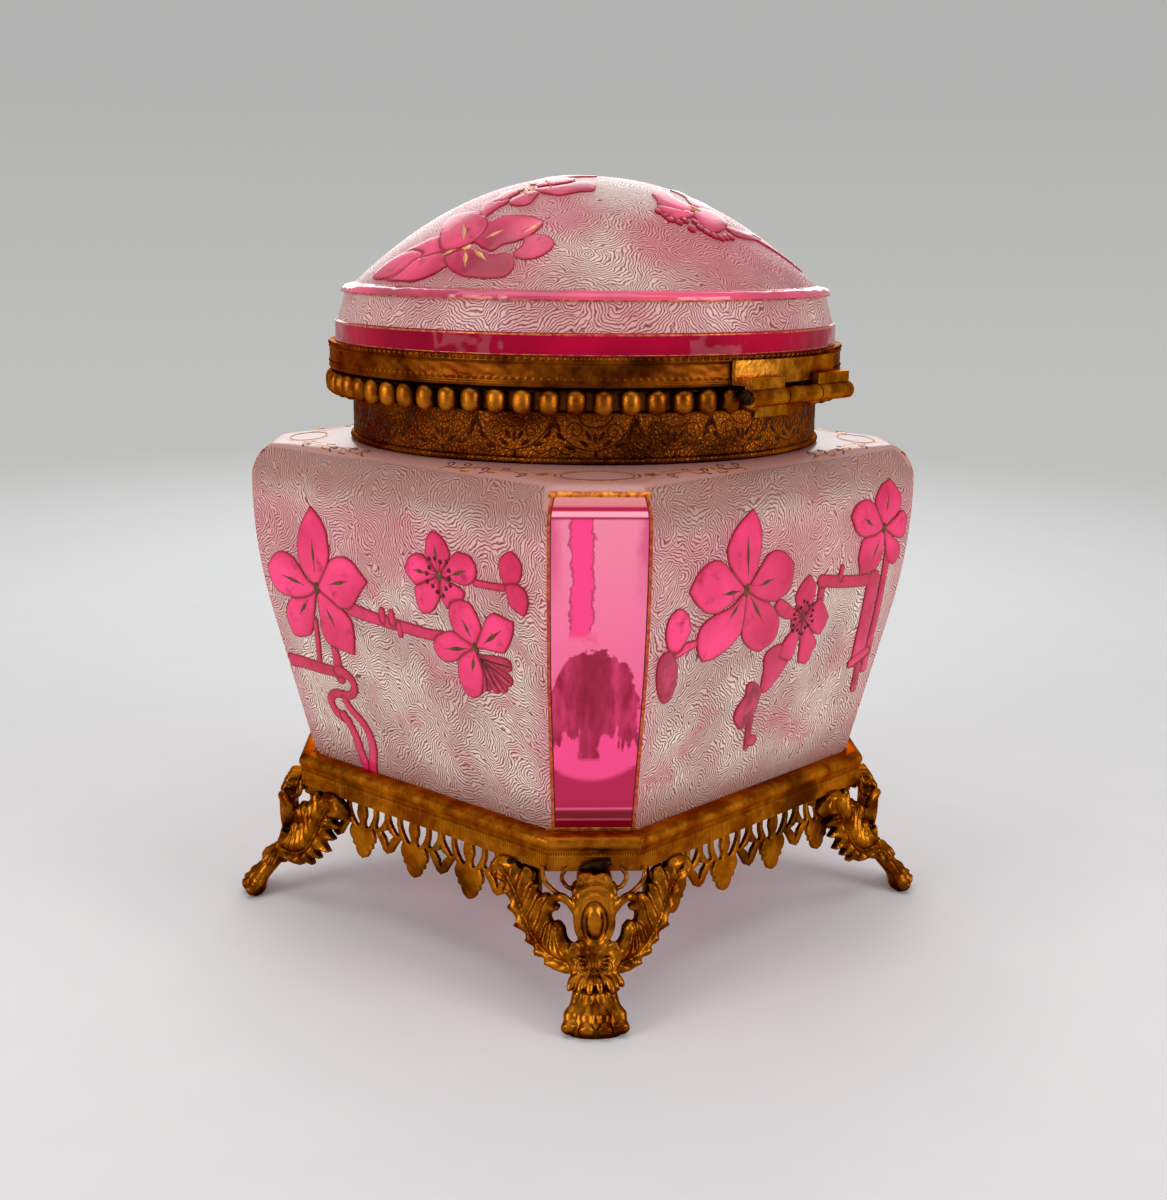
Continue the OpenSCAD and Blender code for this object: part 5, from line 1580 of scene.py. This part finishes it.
def wing(parts, s):
    """Leafy acanthus wing along the side of the frame."""
    u, v, x, z = grid(-3, 23.0, 8.4, 30.4, 0.2)
    outline = smooth_path(WING, 260, True)
    sd = sd_polygon(outline, x, z)
    spine = smooth_path([(-2, 12.0), (3.4, 12.2), (7.6, 14.6), (10.8, 18.6), (13.4, 23.2), (16.8, 27.4)],
                        60)
    near = np.full(x.shape, 1e9)
    along, side = np.zeros(x.shape), np.zeros(x.shape)
    way = np.gradient(spine, axis=0)
    for k, p in enumerate(spine):
        d = np.hypot(x - p[0], z - p[1])
        closer = d < near
        along = np.where(closer, k * 0.42, along)
        side = np.where(closer, np.sign(way[k, 0] * (z - p[1]) - way[k, 1] * (x - p[0])), side)
        near = np.minimum(near, d)
    lean = along - near * 0.9
    lobes = 0.5 + 0.5 * np.cos(lean * 2.05 + side * 1.2)
    fine = 0.5 + 0.5 * np.cos(lean * 7.2)
    edge = np.clip(sd / 0.7, 0, 1)
    height = 0.4 + 0.8 * np.sqrt(np.clip(sd, 0, 1.3) / 1.3) + 0.9 * np.exp(-((near - 1.6) / 1.7) ** 2)
    height += (0.7 * lobes * np.clip(near / 2.2, 0, 1) + 0.22 * fine) * edge
    height -= 0.55 * np.exp(-(near / 0.35) ** 2)
    # A small rose at the tip
    rose_x, rose_z, rose_r = 17.2, 27.2, 2.0
    rose = np.hypot(x - rose_x, z - rose_z)
    lobed = 0.75 + 0.25 * np.cos(5 * np.arctan2(z - rose_z, x - rose_x))
    petals = 1.3 + 0.9 * (1 - (rose / rose_r) ** 2) * lobed
    height = np.where(rose < rose_r, np.maximum(height, petals), height)
    plane = BAND_FLAT - 0.6
    start = 5.2

    def place(a, h, out):
        # The wing lies along the frame's side, at 45 degrees to the leg's axis
        d = ROOT2 * plane - start - a / ROOT2 + out / ROOT2
        y = s * (start + a / ROOT2 + out / ROOT2)
        return np.stack([d, y, h], -1)

    sheet = Parts()
    relief(sheet, u, v, sd, height, place, depth=0.6)
    for f in sheet.faces:
        if s < 0:
            f[:] = f[:, ::-1]
    parts.add(np.concatenate(sheet.points), *sheet.faces)


def paw(parts):
    """Leafy ruff and a lion's foot of four knuckled toes."""
    turn = circle(28)
    rows = []
    for z, d, wide, deep in ((10.4, 71.0, 3.4, 1.8), (8.8, 72.0, 3.8, 2.0), (7.4, 73.2, 4.0, 2.2),
                             (6.0, 74.6, 4.3, 2.4), (4.6, 75.9, 4.8, 2.5), (3.0, 77.0, 5.2, 2.4),
                             (1.2, 77.5, 5.3, 2.2), (-0.3, 77.4, 4.9, 1.9)):
        rows.append(np.stack([d + deep * np.cos(turn), wide * np.sin(turn), np.full(28, z)], -1))
    skin(parts, rows, [[71.0, 0, 10.6], [77.4, 0, -0.3]], True)
    # Leaves: distance out, reach forwards and sideways, height
    leaf = ((71.6, 1.3, 2.8, 10.4), (71.9, 2.3, 3.9, 9.7), (72.5, 2.7, 4.7, 8.7), (73.1, 2.9, 5.2, 7.9))
    thick = np.interp(np.linspace(0, 1, 12), [0, 0.4, 0.75, 1], [0.6, 0.9, 0.75, 0.3])
    for k, angle in enumerate(np.radians([-96, -66, -38, -12, 12, 38, 66, 96])):
        c, s = math.cos(angle), math.sin(angle)
        grow = [1.0] + [1.0 + 0.12 * (k % 2)] * 3
        path = [(d + fore * c * g, aside * s * g, z) for (d, fore, aside, z), g in zip(leaf, grow)]
        sweep(parts, smooth_path(path, 12), thick, 8)
    # Toes: distance out, share of the toe's set-back, share of its place aside, height
    toe = ((72.6, 0, 0.45, 8.6), (74.6, 0.3, 0.6, 7.0), (76.2, 0.5, 0.75, 5.4), (77.6, 0.8, 0.9, 4.0),
           (78.6, 1, 0.96, 2.8), (79.6, 1, 1, 1.75), (80.3, 1, 1, 1.2))
    thick = np.interp(np.linspace(0, 1, 30), [0, 0.18, 0.36, 0.52, 0.66, 0.84, 1],
                      [1.0, 1.45, 1.15, 1.65, 1.35, 1.8, 0.9])
    for y, back in ((-5.15, 1.35), (-1.75, 0.0), (1.75, 0.0), (5.15, 1.35)):
        path = [(d - back * share, y * aside, z) for d, share, aside, z in toe]
        sweep(parts, smooth_path(path, 30), thick, 14)


def fuse(parts, voxel):
    """Makes overlapping closed pieces into one casting."""
    mesh = bpy.data.meshes.new("rough_casting")
    faces = [f for group in parts.faces for f in group.tolist()]
    mesh.from_pydata((np.concatenate(parts.points) * MM).tolist(), [], faces)
    rough = bpy.data.objects.new("rough_casting", mesh)
    bpy.context.scene.collection.objects.link(rough)
    remesh = rough.modifiers.new("remesh", "REMESH")
    remesh.mode = "VOXEL"
    remesh.voxel_size = voxel * MM
    soften = rough.modifiers.new("soften", "SMOOTH")
    soften.iterations = 1
    graph = bpy.context.evaluated_depsgraph_get()
    done = bpy.data.meshes.new_from_object(rough.evaluated_get(graph))
    points = np.empty(len(done.vertices) * 3, np.float32)
    done.vertices.foreach_get("co", points)
    corners = np.empty(len(done.loops), np.int32)
    done.loops.foreach_get("vertex_index", corners)
    bpy.data.objects.remove(rough)
    bpy.data.meshes.remove(mesh)
    bpy.data.meshes.remove(done)
    return points.reshape(-1, 3) / MM, corners.reshape(-1, 4)


def legs():
    """Four castings of the same leg."""
    points, quads = fuse(leg_parts(), 0.27)
    points[:, 2] = np.maximum(points[:, 2], 0.0)
    names = ("leg_back_right", "leg_back_left", "leg_front_left", "leg_front_right")
    for k, node in enumerate(names):
        a = (k + 0.5) * TAU / 4
        c, s = math.cos(a), math.sin(a)
        turned = points @ np.array([[c, s, 0], [-s, c, 0], [0, 0, 1]])
        build(node + "_cast", turned, [quads], [CHASED], "base", "gilt_brass", replaces=(node,), sharp=60)


def dress_nodes():
    """CAD nodes whose shape is right get their finish."""
    looks = ((ENGRAVED, ("neck_collar",)),
             (HINGE, ("collar_hinge_leaf", "lid_hinge_leaf", "hinge_pin")),
             (PLASTER, ("seat_packing", "neck_bedding", "lid_bedding")))
    for material, names in looks:
        for name in names:
            NODES[name].data.materials.clear()
            NODES[name].data.materials.append(material)


# ---- Stage, lamps and camera ----

def stage():
    """Pale floor that curves up all round into a grey wall; it greys with distance."""
    profile = [(0.0, 0.0), (0.35, 0.0), (0.7, 0.0), (1.2, 0.0), (1.45, 0.004), (1.62, 0.03), (1.75, 0.09),
               (1.84, 0.2), (1.9, 0.36), (1.93, 0.6), (1.94, 0.9)]
    fine = smooth_path(profile, 60)
    columns = 96
    points = turned(fine[1:, :1], fine[1:, 1:], circle(columns)).reshape(-1, 3)
    points = np.concatenate([points, [[0, 0, 0]]])
    n = len(fine) - 1
    mesh = bpy.data.meshes.new("studio_floor")
    faces = grid_faces(n, columns).tolist() + cap(0, columns, n * columns, True).tolist()
    mesh.from_pydata(points.tolist(), [], faces)
    mesh.shade_smooth()
    s = Shader("studio_paper")
    xyz = s.node("SeparateXYZ", {0: s.place()}).node
    grain = s.noise(s.place(), 60.0, 3.0)
    away = s.vector("LENGTH", s.place(), out=1)
    pale = s.mix(grain, (0.71, 0.71, 0.71), (0.74, 0.74, 0.735))
    grey = s.mix(s.ramp(xyz.outputs[2], 0.0, 0.36), (0.52, 0.52, 0.51), (0.442, 0.442, 0.438))
    fade = s.node("MapRange", {0: away, 1: 0.34, 2: 0.95, 3: 0.0, 4: 1.0},
                  interpolation_type="SMOOTHSTEP")
    path = s.node("LightPath").node.outputs
    seen = s.math("MAXIMUM", path["Is Camera Ray"],
                  s.math("MAXIMUM", path["Is Glossy Ray"], path["Is Transmission Ray"]))
    paper = s.principled(Base_Color=pale, Roughness=0.9)
    backdrop = s.node("Emission", {"Color": grey})
    mesh.materials.append(s.surface(s.node("MixShader", {0: s.times(fade, seen),
                                                         1: paper, 2: backdrop})))
    floor = bpy.data.objects.new("studio_floor", mesh)
    bpy.context.scene.collection.objects.link(floor)


def lamp(name, place, size, power):
    """Rectangular lamp, aimed at the middle of the box."""
    data = bpy.data.lights.new(name, "AREA")
    data.shape = "RECTANGLE"
    data.size, data.size_y = size
    data.energy = power
    lamp_object = bpy.data.objects.new(name, data)
    direction = Vector((0, 0, 0.08)) - Vector(place)
    lamp_object.location = place
    lamp_object.rotation_euler = direction.to_track_quat("-Z", "Y").to_euler()
    bpy.context.scene.collection.objects.link(lamp_object)


def lights():
    """Soft lamps above, to both sides and behind, in a pale room."""
    lamp("overhead", (0.05, 0.0, 0.95), (1.0, 0.8), 3.4)
    lamp("left_window", (0.85, -0.15, 0.30), (0.4, 0.5), 3.6)
    lamp("right_window", (-0.15, 0.85, 0.30), (0.4, 0.5), 3.6)
    lamp("back_glow", (-0.6, -0.6, 0.45), (0.7, 0.5), 2.6)
    world = bpy.data.worlds.new("studio_air")
    bpy.context.scene.world = world
    world.use_nodes = True
    air = world.node_tree.nodes["Background"]
    air.inputs["Color"].default_value = (0.82, 0.83, 0.85, 1)
    air.inputs["Strength"].default_value = 0.45


def camera():
    """The photograph's view: from the +X +Y corner, a little above."""
    data = bpy.data.cameras.new("view")
    data.lens = 50.505
    data.sensor_width = 36.0
    data.clip_start = 0.01
    eye = bpy.data.objects.new("view", data)
    right = Vector((-0.6774422, 0.7355174, 0.0092824))
    up = Vector((-0.1503585, -0.1508171, 0.9770601))
    back = Vector((0.7200447, 0.6605061, 0.2127612))
    turn = Matrix((right, up, back)).transposed().to_4x4()
    eye.matrix_world = Matrix.Translation(Vector((0.282599, 0.259544, 0.1545))) @ turn
    bpy.context.scene.collection.objects.link(eye)
    bpy.context.scene.camera = eye


camera()
stage()
lights()
dress_nodes()
box_glass()
lid_glass()
sprays()
gilt_lines()
beads()
collar_engraving()
lid_band()
galleries()
frame_ring()
legs()
solder()
bpy.context.scene.view_settings.view_transform = "Standard"
